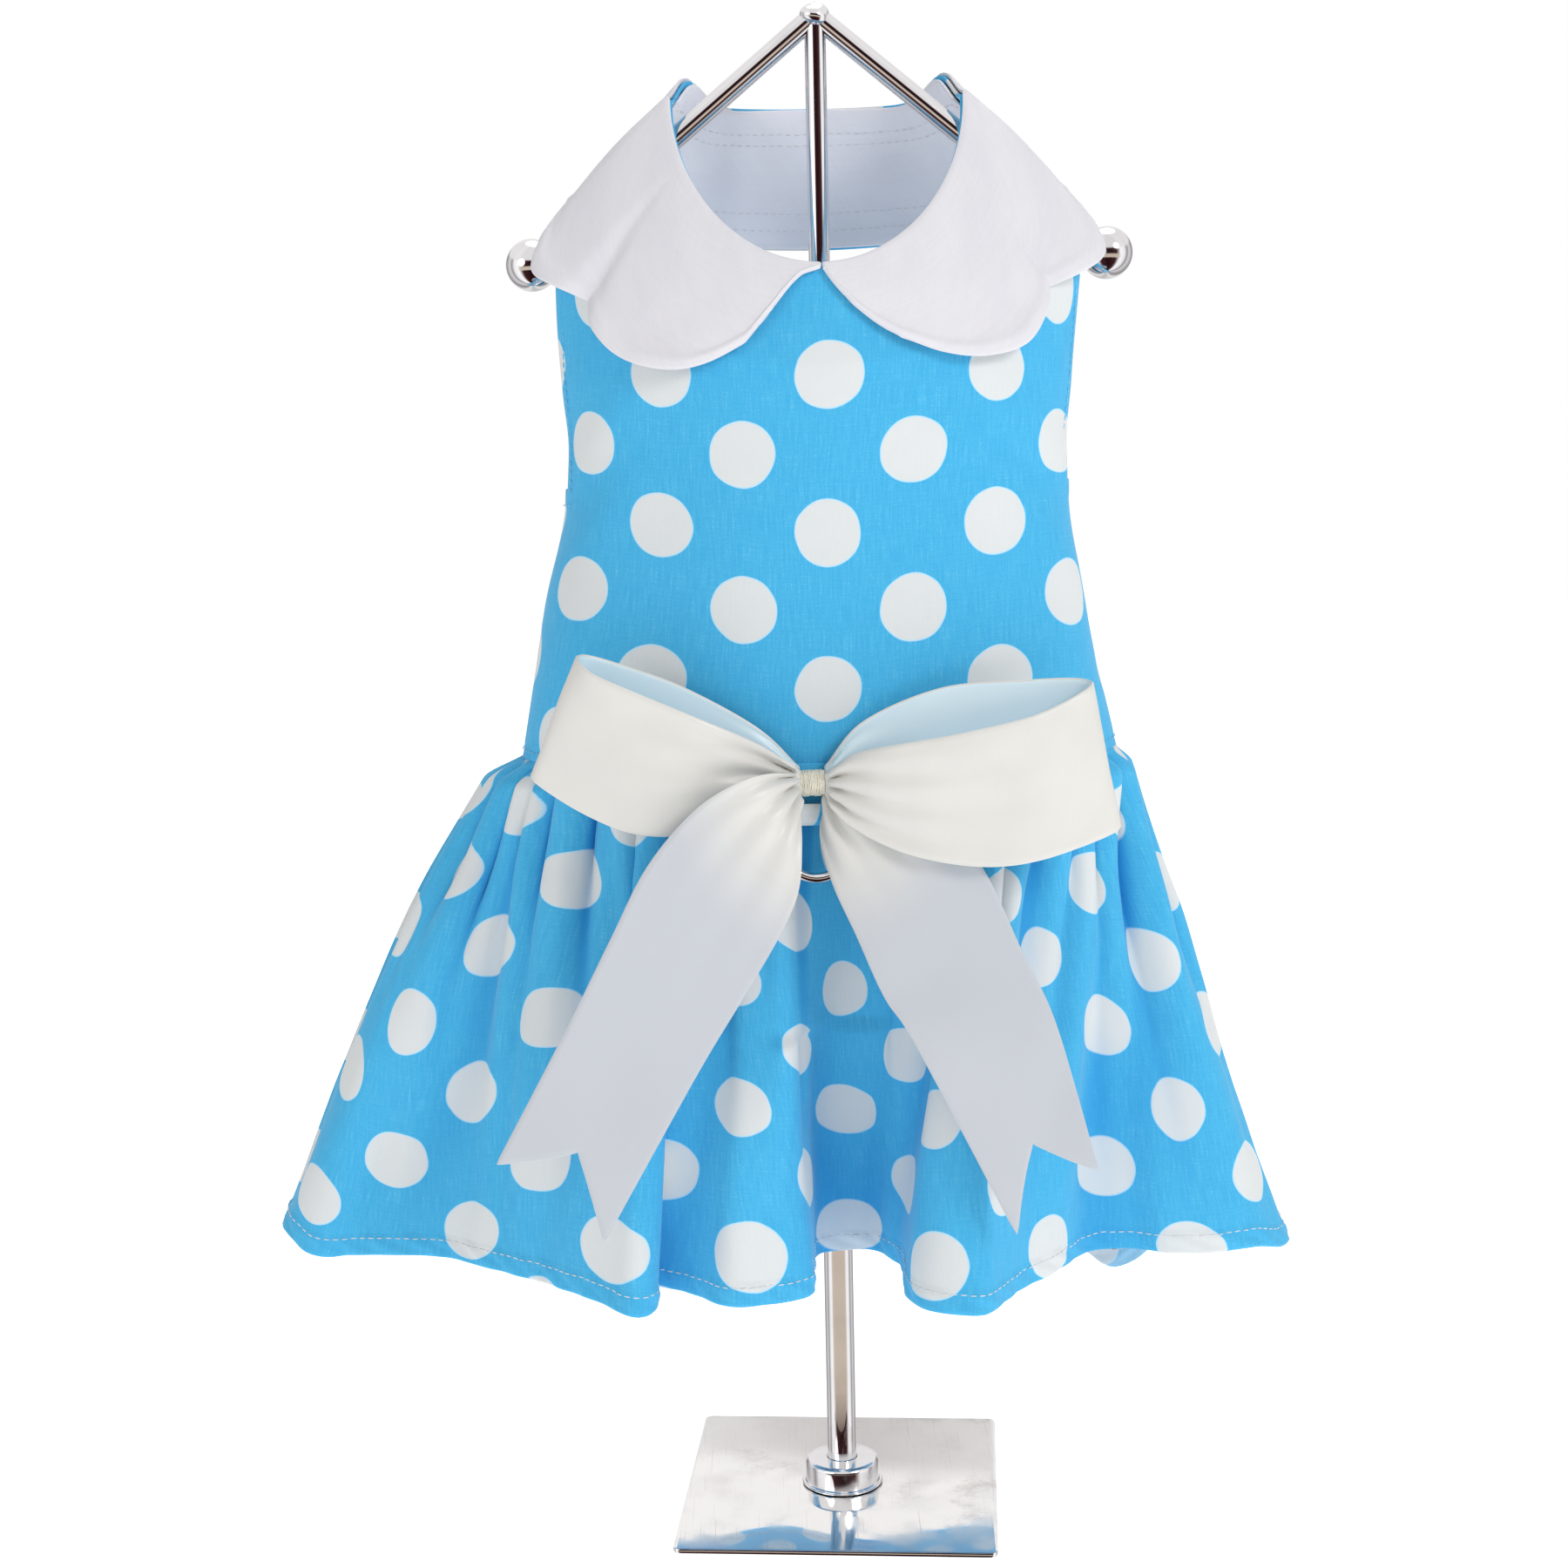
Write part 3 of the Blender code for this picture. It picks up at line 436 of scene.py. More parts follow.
# node trees for what repeats or follows a path
def makeStitchTree():
    tree, given, result = geometryTree("seam_stitches", (
        ("Pitch", "Float", 0.0025), ("Stitch Length", "Float", 0.0019), ("Thread", "Float", 0.0002),
        ("Slant", "Float", 0.0), ("Wander", "Float", 0.0001), ("Finish", "Material", None)))
    line = put(tree, "GeometryNodeMeshToCurve", {"Mesh": given["Geometry"]})
    even = put(tree, "GeometryNodeResampleCurve", {"Curve": line.outputs[0], "Length": given["Pitch"]}, mode="LENGTH")
    lift = put(tree, "GeometryNodeInputNamedAttribute", {"Name": "lift"}, data_type="FLOAT_VECTOR").outputs[0]
    along = put(tree, "GeometryNodeInputTangent").outputs[0]
    first = put(tree, "FunctionNodeAlignRotationToVector", {"Vector": along}, axis="X")
    second = put(tree, "FunctionNodeAlignRotationToVector", {"Rotation": first.outputs[0], "Vector": lift},
                 axis="Z", pivot_axis="X")
    tilt = put(tree, "ShaderNodeCombineXYZ", {"Z": given["Slant"]})
    turned = put(tree, "FunctionNodeRotateRotation", {"Rotation": second.outputs[0], "Rotate By": tilt.outputs[0]},
                 rotation_space="LOCAL")
    grain = put(tree, "GeometryNodeMeshUVSphere", {"Segments": 6, "Rings": 5, "Radius": 1.0})
    halfLength = sums(tree, "MULTIPLY", given["Stitch Length"], 0.5)
    size = put(tree, "ShaderNodeCombineXYZ", {"X": halfLength, "Y": given["Thread"], "Z": given["Thread"]})
    shaped = put(tree, "GeometryNodeTransform", {"Geometry": grain.outputs["Mesh"], "Scale": size.outputs[0]})
    copies = put(tree, "GeometryNodeInstanceOnPoints", {
        "Points": even.outputs[0], "Instance": shaped.outputs[0], "Rotation": turned.outputs[0]})
    shake = put(tree, "FunctionNodeRandomValue", {"Min": (-1, -1, -1), "Max": (1, 1, 1), "Seed": 4},
                data_type="FLOAT_VECTOR")
    moved = put(tree, "ShaderNodeVectorMath", {0: shake.outputs[0], "Scale": given["Wander"]}, operation="SCALE")
    shaken = put(tree, "GeometryNodeTranslateInstances", {
        "Instances": copies.outputs[0], "Translation": moved.outputs[0]})
    real = put(tree, "GeometryNodeRealizeInstances", {"Geometry": shaken.outputs[0]})
    soft = put(tree, "GeometryNodeSetShadeSmooth", {"Geometry": real.outputs[0]})
    made = put(tree, "GeometryNodeSetMaterial", {"Geometry": soft.outputs[0], "Material": given["Finish"]})
    tree.links.new(made.outputs[0], result["Geometry"])
    return tree


def makeRodTree():
    tree, given, result = geometryTree("rod_along_line", (
        ("Radius", "Float", 0.003), ("Sides", "Int", 40), ("Finish", "Material", None)))
    line = put(tree, "GeometryNodeMeshToCurve", {"Mesh": given["Geometry"]})
    ring = put(tree, "GeometryNodeCurvePrimitiveCircle", {"Resolution": given["Sides"], "Radius": given["Radius"]})
    swept = put(tree, "GeometryNodeCurveToMesh", {
        "Curve": line.outputs[0], "Profile Curve": ring.outputs[0], "Fill Caps": True})
    real = put(tree, "GeometryNodeRealizeInstances", {"Geometry": swept.outputs[0]})
    made = put(tree, "GeometryNodeSetMaterial", {"Geometry": real.outputs[0], "Material": given["Finish"]})
    tree.links.new(made.outputs[0], result["Geometry"])
    return tree


def makeCoilTree():
    # a thread wound round the X axis, a little uneven, as hand-bound
    tree, given, result = geometryTree("binding_thread", (
        ("Turns", "Float", 6.0), ("Radius", "Float", 0.005), ("Width", "Float", 0.004),
        ("Thread", "Float", 0.0003), ("Centre", "Vector", (0, 0, 0)), ("Finish", "Material", None)))
    spiral = put(tree, "GeometryNodeCurveSpiral", {
        "Resolution": 26, "Rotations": given["Turns"], "Start Radius": given["Radius"],
        "End Radius": given["Radius"], "Height": given["Width"]})
    spot = put(tree, "GeometryNodeInputPosition").outputs[0]
    noise = put(tree, "ShaderNodeTexNoise", {"Vector": spot, "Scale": 500.0, "Detail": 1.0}, noise_dimensions="3D")
    centred = put(tree, "ShaderNodeVectorMath", {0: noise.outputs["Color"], 1: (0.5, 0.5, 0.5)}, operation="SUBTRACT")
    nudge = put(tree, "ShaderNodeVectorMath", {0: centred.outputs[0], "Scale": 0.0012}, operation="SCALE")
    moved = put(tree, "GeometryNodeSetPosition", {"Geometry": spiral.outputs[0], "Offset": nudge.outputs[0]})
    ring = put(tree, "GeometryNodeCurvePrimitiveCircle", {"Resolution": 8, "Radius": given["Thread"]})
    swept = put(tree, "GeometryNodeCurveToMesh", {
        "Curve": moved.outputs[0], "Profile Curve": ring.outputs[0], "Fill Caps": True})
    lowered = put(tree, "ShaderNodeCombineXYZ", {"Z": sums(tree, "MULTIPLY", given["Width"], -0.5)})
    middle = put(tree, "GeometryNodeTransform", {"Geometry": swept.outputs[0], "Translation": lowered.outputs[0]})
    laid = put(tree, "GeometryNodeTransform", {
        "Geometry": middle.outputs[0], "Rotation": (0, math.pi / 2, 0), "Translation": given["Centre"]})
    real = put(tree, "GeometryNodeRealizeInstances", {"Geometry": laid.outputs[0]})
    soft = put(tree, "GeometryNodeSetShadeSmooth", {"Geometry": real.outputs[0]})
    made = put(tree, "GeometryNodeSetMaterial", {"Geometry": soft.outputs[0], "Material": given["Finish"]})
    tree.links.new(made.outputs[0], result["Geometry"])
    return tree


def makeGatherTree():
    # pushes the skirt in and out along its cut: tight gathers under the waist and soft folds lower down
    tree, given, result = geometryTree("skirt_gathers", (
        ("Gather Pitch", "Float", 0.017), ("Gather Depth", "Float", 0.0017), ("Gather Fade", "Float", 0.20),
        ("Fold Pitch", "Float", 0.050), ("Fold Depth", "Float", 0.0020), ("Crumple", "Float", 0.0006),
        ("Lean", "Float", 0.6), ("Seed", "Float", 3.0), ("Finish", "Material", None),
        ("Back Finish", "Material", None)))
    place = put(tree, "GeometryNodeInputNamedAttribute", {"Name": "cutPlace"}, data_type="FLOAT_VECTOR").outputs[0]
    way = put(tree, "GeometryNodeInputNamedAttribute", {"Name": "outward"}, data_type="FLOAT_VECTOR").outputs[0]
    side = put(tree, "ShaderNodeVectorMath", {0: way, 1: (0, 0, 1)}, operation="CROSS_PRODUCT").outputs[0]
    split = put(tree, "ShaderNodeSeparateXYZ", {0: place}).outputs
    across, down, share = split[0], split[1], split[2]

    def noiseAt(scaleAcross, scaleDown, seed):
        spot = put(tree, "ShaderNodeCombineXYZ", {
            "X": sums(tree, "MULTIPLY", across, scaleAcross), "Y": sums(tree, "MULTIPLY", down, scaleDown),
            "Z": sums(tree, "ADD", given["Seed"], seed)})
        return put(tree, "ShaderNodeTexNoise", {"Vector": spot.outputs[0], "Scale": 1.0, "Detail": 1.0}).outputs["Fac"]

    def waves(pitch, wander, seed):
        shift = sums(tree, "MULTIPLY", noiseAt(16, 5, seed), wander)
        turns = sums(tree, "ADD", sums(tree, "DIVIDE", across, pitch), shift)
        angle = sums(tree, "MULTIPLY", turns, 2 * math.pi)
        return sums(tree, "SINE", angle), sums(tree, "COSINE", angle)

    start = ramp(tree, share, 0.0, 0.045)
    reach = sums(tree, "MULTIPLY", given["Gather Fade"], ramp(tree, noiseAt(40, 0, 11), 0.3, 0.7, 0.45, 1.7))
    fade = sums(tree, "EXPONENT", sums(tree, "MULTIPLY", sums(tree, "DIVIDE", share, reach), -1.0))
    size = ramp(tree, noiseAt(55, 0, 17), 0.3, 0.7, 0.55, 1.25)
    strength = sums(tree, "MULTIPLY", size, sums(tree, "MULTIPLY", start, fade))
    crest, slope = waves(given["Gather Pitch"], 2.2, 23)
    gathers = sums(tree, "MULTIPLY", sums(tree, "MULTIPLY", crest, given["Gather Depth"]), strength)
    tilt = sums(tree, "MULTIPLY", given["Gather Depth"], given["Lean"])
    lean = sums(tree, "MULTIPLY", sums(tree, "MULTIPLY", slope, tilt), strength)
    lower = sums(tree, "MULTIPLY", ramp(tree, share, 0.02, 0.35), ramp(tree, share, 1.0, 0.55, 0.35, 1.0))
    roll = waves(given["Fold Pitch"], 1.6, 31)[0]
    folds = sums(tree, "MULTIPLY", sums(tree, "MULTIPLY", roll, given["Fold Depth"]), lower)
    small = sums(tree, "MULTIPLY", sums(tree, "SUBTRACT", noiseAt(60, 22, 41), 0.5), 2.0)
    crumple = sums(tree, "MULTIPLY", small, sums(tree, "MULTIPLY", given["Crumple"], start))
    height = sums(tree, "ADD", sums(tree, "ADD", gathers, folds), crumple)
    push = put(tree, "ShaderNodeVectorMath", {0: way, "Scale": height}, operation="SCALE")
    sway = put(tree, "ShaderNodeVectorMath", {0: side, "Scale": lean}, operation="SCALE")
    both = put(tree, "ShaderNodeVectorMath", {0: push.outputs[0], 1: sway.outputs[0]}, operation="ADD")
    moved = put(tree, "GeometryNodeSetPosition", {"Geometry": given["Geometry"], "Offset": both.outputs[0]})
    # how deep each point lies in its fold, which the finish turns into painted shade
    gathered = sums(tree, "MULTIPLY", sums(tree, "MULTIPLY", crest, strength), 1.2)
    depth = sums(tree, "ADD", gathered, sums(tree, "DIVIDE", folds, 0.010))
    hemFold = put(tree, "GeometryNodeInputNamedAttribute", {"Name": "hemFold"}, data_type="FLOAT").outputs[0]
    depth = sums(tree, "ADD", depth, hemFold)
    kept = put(tree, "GeometryNodeStoreNamedAttribute", {
        "Geometry": moved.outputs[0], "Name": "foldDepth", "Value": depth}, data_type="FLOAT", domain="POINT")
    made = put(tree, "GeometryNodeRealizeInstances", {"Geometry": kept.outputs[0]})
    slot = put(tree, "GeometryNodeInputMaterialIndex").outputs[0]
    for index, finish in enumerate(("Finish", "Back Finish")):
        chosen = put(tree, "FunctionNodeCompare", data_type="INT", operation="EQUAL")
        sides = [socket for socket in chosen.inputs if socket.enabled]
        tree.links.new(slot, sides[0])
        sides[1].default_value = index
        made = put(tree, "GeometryNodeSetMaterial", {
            "Geometry": made.outputs[0], "Selection": chosen.outputs[0], "Material": given[finish]})
    tree.links.new(made.outputs[0], result["Geometry"])
    return tree


stitchTree, rodTree, coilTree, gatherTree = makeStitchTree(), makeRodTree(), makeCoilTree(), makeGatherTree()


def stitchRuns(name, lines, thread, slot, pitch=0.0027, length=0.0020, size=0.00019, slant=0.0, wander=0.00008):
    # one piece of stitches along lines of (points, normals)
    points, lifts, edges = [], [], []
    for line, lift in lines:
        first = len(points)
        points += np.asarray(line).tolist()
        lifts += np.asarray(lift).tolist()
        edges += [(k, k + 1) for k in range(first, len(points) - 1)]
    mesh = bpy.data.meshes.new(name)
    mesh.from_pydata(points, edges, [])
    mesh.attributes.new("lift", "FLOAT_VECTOR", "POINT").data.foreach_set(
        "vector", np.asarray(lifts, np.float32).ravel())
    piece = bpy.data.objects.new(name, mesh)
    bpy.context.scene.collection.objects.link(piece)
    bakeTree(piece, stitchTree, {
        "Pitch": pitch, "Stitch Length": length, "Thread": size, "Slant": slant, "Wander": wander, "Finish": thread})
    return hand(piece, slot)


# stand
stand = {
    "plateSide": 4 * inch,
    "plateThick": 0.0016,
    "plateCorner": 0.0025,
    "plateTurn": math.radians(-4.4),
    "tubeRadius": 0.1875 * inch,
    "rodRadius": 0.1275 * inch,
    "tubeTop": 0.215,
    "socketDeep": 0.018,
    "flangeRadius": 0.0121,
    "flangeHigh": 0.0084,
    "flangeRound": 0.0018,
    "washerRadius": 0.0133,
    "washerHigh": 0.0008,
    "apexHigh": 0.4702,
    "weldRadius": 0.0043,
    "ballRadius": 0.3125 * inch,
    "ballPastShoulder": 0.0080,
    "armPastBall": 0.0017,
    "armBelowNeck": 0.0118,
    "armBelowShoulder": 0.0072,
    "sides": 72,
}


# body form shared by the bodice, the strap and the collar
body = {
    "cloth": 0.0012,
    "layer": 0.0016,
    "waistHalf": 0.093,
    "bodiceLong": 0.148,
    "puckerAngle": 118,
    "puckerWide": 13,
    "puckerHigh": 0.0075,
    # half width, front, far and centre as shares of waistHalf; three heights as shares of bodiceLong
    "rings": (
        (0.473, 0.376, 0.484, 0.000, 1.000, 1.345, 1.352),
        (0.860, 0.441, 0.559, 0.000, 0.804, 1.115, 1.061),
        (0.850, 0.452, 0.430, -0.013, 0.655, 0.880, 0.800),
        (0.828, 0.462, 0.398, -0.027, 0.560, 0.560, 0.560),
        (0.903, 0.487, 0.409, -0.038, 0.310, 0.310, 0.310),
        (1.000, 0.516, 0.430, -0.032, 0.000, 0.000, 0.000),
    ),
}
# the dress hangs on the arms: they pass these clearances under the yoke's two rings
neckSide = body["waistHalf"] * body["rings"][0][0]
shoulderOut = body["waistHalf"] * body["rings"][1][0]
yokeDrop = body["bodiceLong"] * (body["rings"][0][5] - body["rings"][1][5])
armSlope = (yokeDrop + stand["armBelowShoulder"] - stand["armBelowNeck"]) / (shoulderOut - neckSide)
waistHigh = stand["apexHigh"] - armSlope * neckSide + stand["armBelowNeck"] - body["bodiceLong"] * body["rings"][0][5]
ballOut = shoulderOut + stand["ballPastShoulder"]
ballHigh = stand["apexHigh"] - armSlope * ballOut


def turned(name, profile, matrix, finish, sides=72, closed=True, crease=40):
    # solid of revolution from (r, z) points round the matrix's Z axis
    points, faces, rings = [], [], []
    for r, z in profile:
        if r < 1e-9:
            rings.append([len(points)])
            points.append(matrix @ Vector((0, 0, z)))
            continue
        rings.append(list(range(len(points), len(points) + sides)))
        for k in range(sides):
            a = 2 * math.pi * k / sides
            points.append(matrix @ Vector((r * math.cos(a), r * math.sin(a), z)))
    pairs = list(zip(rings, rings[1:] + rings[:1] if closed else rings[1:]))
    for one, two in pairs:
        for k in range(sides):
            n = (k + 1) % sides
            loop = [one[k % len(one)], one[n % len(one)], two[n % len(two)], two[k % len(two)]]
            loop = list(dict.fromkeys(loop))
            if len(loop) > 2:
                faces.append(loop)
    return addPiece(name, points, faces, [finish], crease=crease)


def pointing(start, end):
    return Matrix.Translation(start) @ (end - start).to_track_quat("Z", "Y").to_matrix().to_4x4()


def makePlate():
    half, corner, thick = stand["plateSide"] / 2, stand["plateCorner"], stand["plateThick"]
    soft, softer = 0.0005, 0.00015  # the plate's eased edges, height and inset
    levels = ((0.0, soft), (softer, softer), (soft, 0.0), (thick - soft, 0.0), (thick - softer, softer), (thick, soft))
    points, faces, steps = [], [], 9
    for z, inset in levels:
        for turn in range(4):
            for step in range(steps):
                a = math.pi / 2 * (turn + step / (steps - 1))
                middle = (half - corner) * math.sqrt(2)
                spot = math.pi / 4 + math.pi / 2 * turn
                x = middle * math.cos(spot) + (corner - inset) * math.cos(a)
                y = middle * math.sin(spot) + (corner - inset) * math.sin(a)
                points.append(Matrix.Rotation(stand["plateTurn"], 4, "Z") @ Vector((x, y, z)))
    count = 4 * steps
    for ring in range(len(levels) - 1):
        for k in range(count):
            n = (k + 1) % count
            faces.append([ring * count + k, ring * count + n, (ring + 1) * count + n, (ring + 1) * count + k])
    faces.append(list(range(count))[::-1])
    faces.append(list(range((len(levels) - 1) * count, len(levels) * count)))
    hand(addPiece("polished_plate", points, faces, [plateSteel], crease=35), "chrome_steel", "base_plate")


def makeStand():
    foot = stand["plateThick"] + gap
    bore = stand["tubeRadius"] + 0.0001
    top = foot + stand["flangeHigh"]
    washer, flange = stand["washerRadius"], stand["flangeRadius"]
    seat = foot + stand["washerHigh"]
    profile = [(bore, foot), (washer - 0.0003, foot), (washer, foot + 0.0003), (washer, seat - 0.0002)]
    profile += [(washer - 0.0002, seat), (flange + 0.0003, seat), (flange, seat + 0.0003)]
    for k in range(9):
        a = math.pi / 2 * k / 8
        profile.append((flange - stand["flangeRound"] * (1 - math.cos(a)),
                        top - stand["flangeRound"] * (1 - math.sin(a))))
    profile += [(bore + 0.0003, top), (bore, top - 0.0003)]
    hand(turned("flange_ring", profile, Matrix(), rodSteel, stand["sides"]), "chrome_steel", "base_flange")

    tube, tubeTop = stand["tubeRadius"], stand["tubeTop"]
    socket = stand["rodRadius"] + 0.0001
    profile = [(0, foot), (tube, foot), (tube, tubeTop - 0.0008)]
    profile += [(tube - 0.0008 * (1 - math.cos(a)), tubeTop - 0.0008 * (1 - math.sin(a))) for a in (0.5, 1.0, 1.57)]
    profile += [(socket, tubeTop), (socket, tubeTop - stand["socketDeep"]), (0, tubeTop - stand["socketDeep"])]
    hand(turned("pole_tube", profile, Matrix(), rodSteel, stand["sides"]), "chrome_steel", "lower_tube")

    # the three rods run along lines, and the weld is a lump over their meeting point
    apex = Vector((0, 0, stand["apexHigh"]))
    ends = [Vector((0, 0, tubeTop - stand["socketDeep"] + gap))]
    balls = [Vector((side * ballOut, 0, ballHigh)) for side in (-1, 1)]
    ends += [ball + (ball - apex).normalized() * stand["armPastBall"] for ball in balls]
    mesh = bpy.data.meshes.new("hanger_lines")
    mesh.from_pydata([p for end in ends for p in (apex, end)], [(0, 1), (2, 3), (4, 5)], [])
    hanger = bpy.data.objects.new("hanger_rods", mesh)
    bpy.context.scene.collection.objects.link(hanger)
    bakeTree(hanger, rodTree, {"Radius": stand["rodRadius"], "Sides": stand["sides"], "Finish": rodSteel})
    hanger.data.polygons.foreach_set("use_smooth", np.ones(len(hanger.data.polygons), bool))
    hanger.data.set_sharp_from_angle(angle=math.radians(40))
    hand(hanger, "chrome_steel", "hanger")

    rows, columns = 40, 56
    around = np.linspace(0, 2 * math.pi, columns, endpoint=False)
    a, v = np.meshgrid(around, np.linspace(0.001, math.pi - 0.001, rows))
    lump = 1 + 0.10 * ripple(a * 0.4, v, 1.5, 5) + 0.10 * np.abs(np.sin(a)) * np.sin(v) ** 4
    r = stand["weldRadius"] * lump
    high = r * np.cos(v) * 0.96 + stand["apexHigh"] - 0.0004
    points = np.stack([r * np.sin(v) * np.cos(a) * 1.08, r * np.sin(v) * np.sin(a), high], -1).reshape(-1, 3)
    faces = [[j * columns + i, (j + 1) * columns + i, (j + 1) * columns + n, j * columns + n]
             for j in range(rows - 1) for i, n in zip(range(columns), [*range(1, columns), 0])]
    faces += [list(range(columns)), list(range((rows - 1) * columns, rows * columns))[::-1]]
    hand(addPiece("weld_lump", points, faces, [rodSteel], crease=80), "chrome_steel")

    for side, ball in zip(("left", "right"), balls):
        hole, deep = stand["rodRadius"] + 0.0001, stand["armPastBall"] + gap
        mouth = math.sqrt(stand["ballRadius"] ** 2 - hole ** 2)
        start = math.atan2(hole, -mouth)
        profile = [(0, deep), (hole, deep), (hole, -mouth)]
        for k in range(1, 37):
            a = start * (1 - k / 36)
            profile.append((stand["ballRadius"] * math.sin(a) if k < 36 else 0, stand["ballRadius"] * math.cos(a)))
        matrix = pointing(apex, ball) @ Matrix.Translation((0, 0, (ball - apex).length))
        hand(turned("ball_knob_" + side, profile, matrix, rodSteel, 64), "chrome_steel", "ball_tip_" + side)


makePlate()
makeStand()
print("dress: stand made")


def ringValues(level, straight=False):
    level = np.asarray(level, float)
    rows = np.asarray(body["rings"], float)
    yoke = rows[0] + (rows[1] - rows[0]) * level[..., None]
    return yoke if straight else np.where((level <= 1)[..., None], yoke, smoothAt(rows[1:], level - 1))


def bodyPoint(angle, level, straight=False):
    # point of the cloth's middle; the angle is in degrees from the front, + towards +X
    half, front, far, centre, zFront, zSide, zFar = np.moveaxis(ringValues(level, straight), -1, 0)
    c = np.cos(np.radians(angle))
    x = body["waistHalf"] * (half * np.sin(np.radians(angle)) + centre)
    y = body["waistHalf"] * np.where(c >= 0, -front * c, -far * c)
    rise = np.where(c >= 0, zSide + (zFront - zSide) * c, zSide + (zFar - zSide) * c * c)
    pucker = body["puckerHigh"] * bump(np.abs((angle + 180) % 360 - 180), body["puckerAngle"], body["puckerWide"])
    z = waistHigh + body["bodiceLong"] * rise + pucker * np.clip(1 - level, 0, 1)
    return np.stack([x, y, z], -1)


def bodyNormal(angle, level, straight=False):
    around = bodyPoint(angle + 1.0, level, straight) - bodyPoint(angle - 1.0, level, straight)
    if straight:
        down = bodyPoint(angle, level + 0.04, True) - bodyPoint(angle, level - 0.04, True)
    else:
        down = bodyPoint(angle, np.minimum(level + 0.04, 5)) - bodyPoint(angle, np.maximum(level - 0.04, 0))
    return unit(np.cross(down, around))


# bodice
bodice = {
    "angleStep": 1.25,
    "panelEdge": 80,
    "shoulderEdge": 100,
    "hemWide": 0.0050,
    "hemThick": 0.0007,
    "grooveDeep": 0.00025,
    "crease": 0.0007,
    # where dots of the print fall: across from the centre, up from the waist, column and row
    "dots": (
        (0.001, 0.117, 0, 4),
        (-0.050, 0.116, -2, 4),
        (0.055, 0.117, 2, 4),
        (-0.072, 0.101, -3, 3),
        (-0.025, 0.093, -1, 3),
        (0.029, 0.095, 1, 3),
        (0.079, 0.098, 3, 3),
        (-0.046, 0.074, -2, 2),
        (0.004, 0.070, 0, 2),
        (0.053, 0.073, 2, 2),
        (-0.075, 0.056, -3, 1),
        (-0.020, 0.048, -1, 1),
        (0.028, 0.048, 1, 1),
        (0.089, 0.051, 3, 1),
        (-0.049, 0.027, -2, 0),
        (0.002, 0.024, 0, 0),
        (0.055, 0.025, 2, 0),
        (-0.089, 0.009, -3, -1),
    ),
    "flat": (0.56, 0.205),
    "flatArea": 0.067,
}


def makeBodice():
    angles = np.arange(-180, 180, bodice["angleStep"])
    levels = np.concatenate([np.linspace(0, 1, 19)[:-1], np.linspace(1, 3, 49)[:-1],
                             np.linspace(3, 4.9, 38), [4.95, 5.0]])
    a, v = np.meshgrid(angles, levels)
    middle, normal = bodyPoint(a, v), bodyNormal(a, v)
    full = bodyPoint(np.append(angles, 180)[None, :].repeat(len(levels), 0), v[:, :1].repeat(len(angles) + 1, 1))
    around = runLength(full, 1)
    across = around - around[:, [int(180 / bodice["angleStep"])]]
    up = runLength(full[::-1], 0)[::-1]
    place = printPlaces(across, up, bodice["dots"])
    keep = np.zeros((len(levels) - 1, len(angles)), bool)
    cell = angles + bodice["angleStep"] / 2
    for j, level in enumerate(levels[:-1]):
        reach = bodice["shoulderEdge"] if level < 0.999 else bodice["panelEdge"] if level < 2.999 else 181
        keep[j] = np.abs(cell) < reach
    # soft creases: a little slack everywhere, and a drag from the armholes to the bow
    u, w = across[:, :-1], up[:, :-1]
    slack = ripple(u, w * 0.5, 0.055, 8) * bodice["crease"] * ease(w, 0.0, 0.03)
    drag = np.sin((np.abs(u) * 0.8 + w) * 2 * math.pi / 0.030) * bump(np.abs(u), 0.075, 0.022) * bump(w, 0.09, 0.03)
    offset = slack + 0.0004 * drag
    # turned edges of the armholes: a thicker strip with a stitched groove
    step = np.minimum(np.abs(np.abs(a) - bodice["panelEdge"]), 40) * np.pi / 180 * 0.06
    beside = np.where((v >= 1) & (v <= 3) & (np.abs(a) <= bodice["panelEdge"] + 0.01), step, 1.0)
    below = np.where((v >= 3) & (np.abs(a) >= bodice["panelEdge"]), (v - 3) * body["bodiceLong"] * 0.25, 1.0)
    edge = np.minimum(beside, below)
    inHem = ease(edge, bodice["hemWide"] + 0.0006, bodice["hemWide"] - 0.0004)
    thick = body["cloth"] * 0.85 + bodice["hemThick"] * inHem
    thick = thick - bodice["grooveDeep"] * bump(edge, bodice["hemWide"] - 0.0009, 0.0005)
    thick = thick - 0.0003 * bump(w, 0.0022, 0.0008)
    piece = clothWalls("bodice_cloth", middle + normal * offset[..., None], normal, thick, place,
                       [skyCotton, skyCottonBack], True, keep)
    hand(piece, "dress_cotton", "bodice")

    def lineOn(angle, level, side=1):
        n = bodyNormal(angle, level)
        return bodyPoint(angle, level) + n * side * (body["cloth"] * 0.5 + 0.0001), n * side

    seams = []
    turn = np.linspace(-180, 180, 400)
    seams.append(lineOn(turn, np.full(400, 4.945)))
    for sign in (-1, 1):
        run = np.linspace(1.02, 3.0, 80)
        seams.append(lineOn(np.full(80, sign * (bodice["panelEdge"] - 4.3)), run))
        rest = np.linspace(bodice["panelEdge"] - 4.3, 180, 90)
        seams.append(lineOn(sign * rest, np.full(90, 3.12)))
    neck = np.linspace(-9, 9, 30)
    seams.append(lineOn(neck, np.full(30, 0.075)))
    stitches = stitchRuns("bodice_stitches", seams, blueThread, "dress_cotton")
    return piece


makeBodice()
print("dress: bodice made")


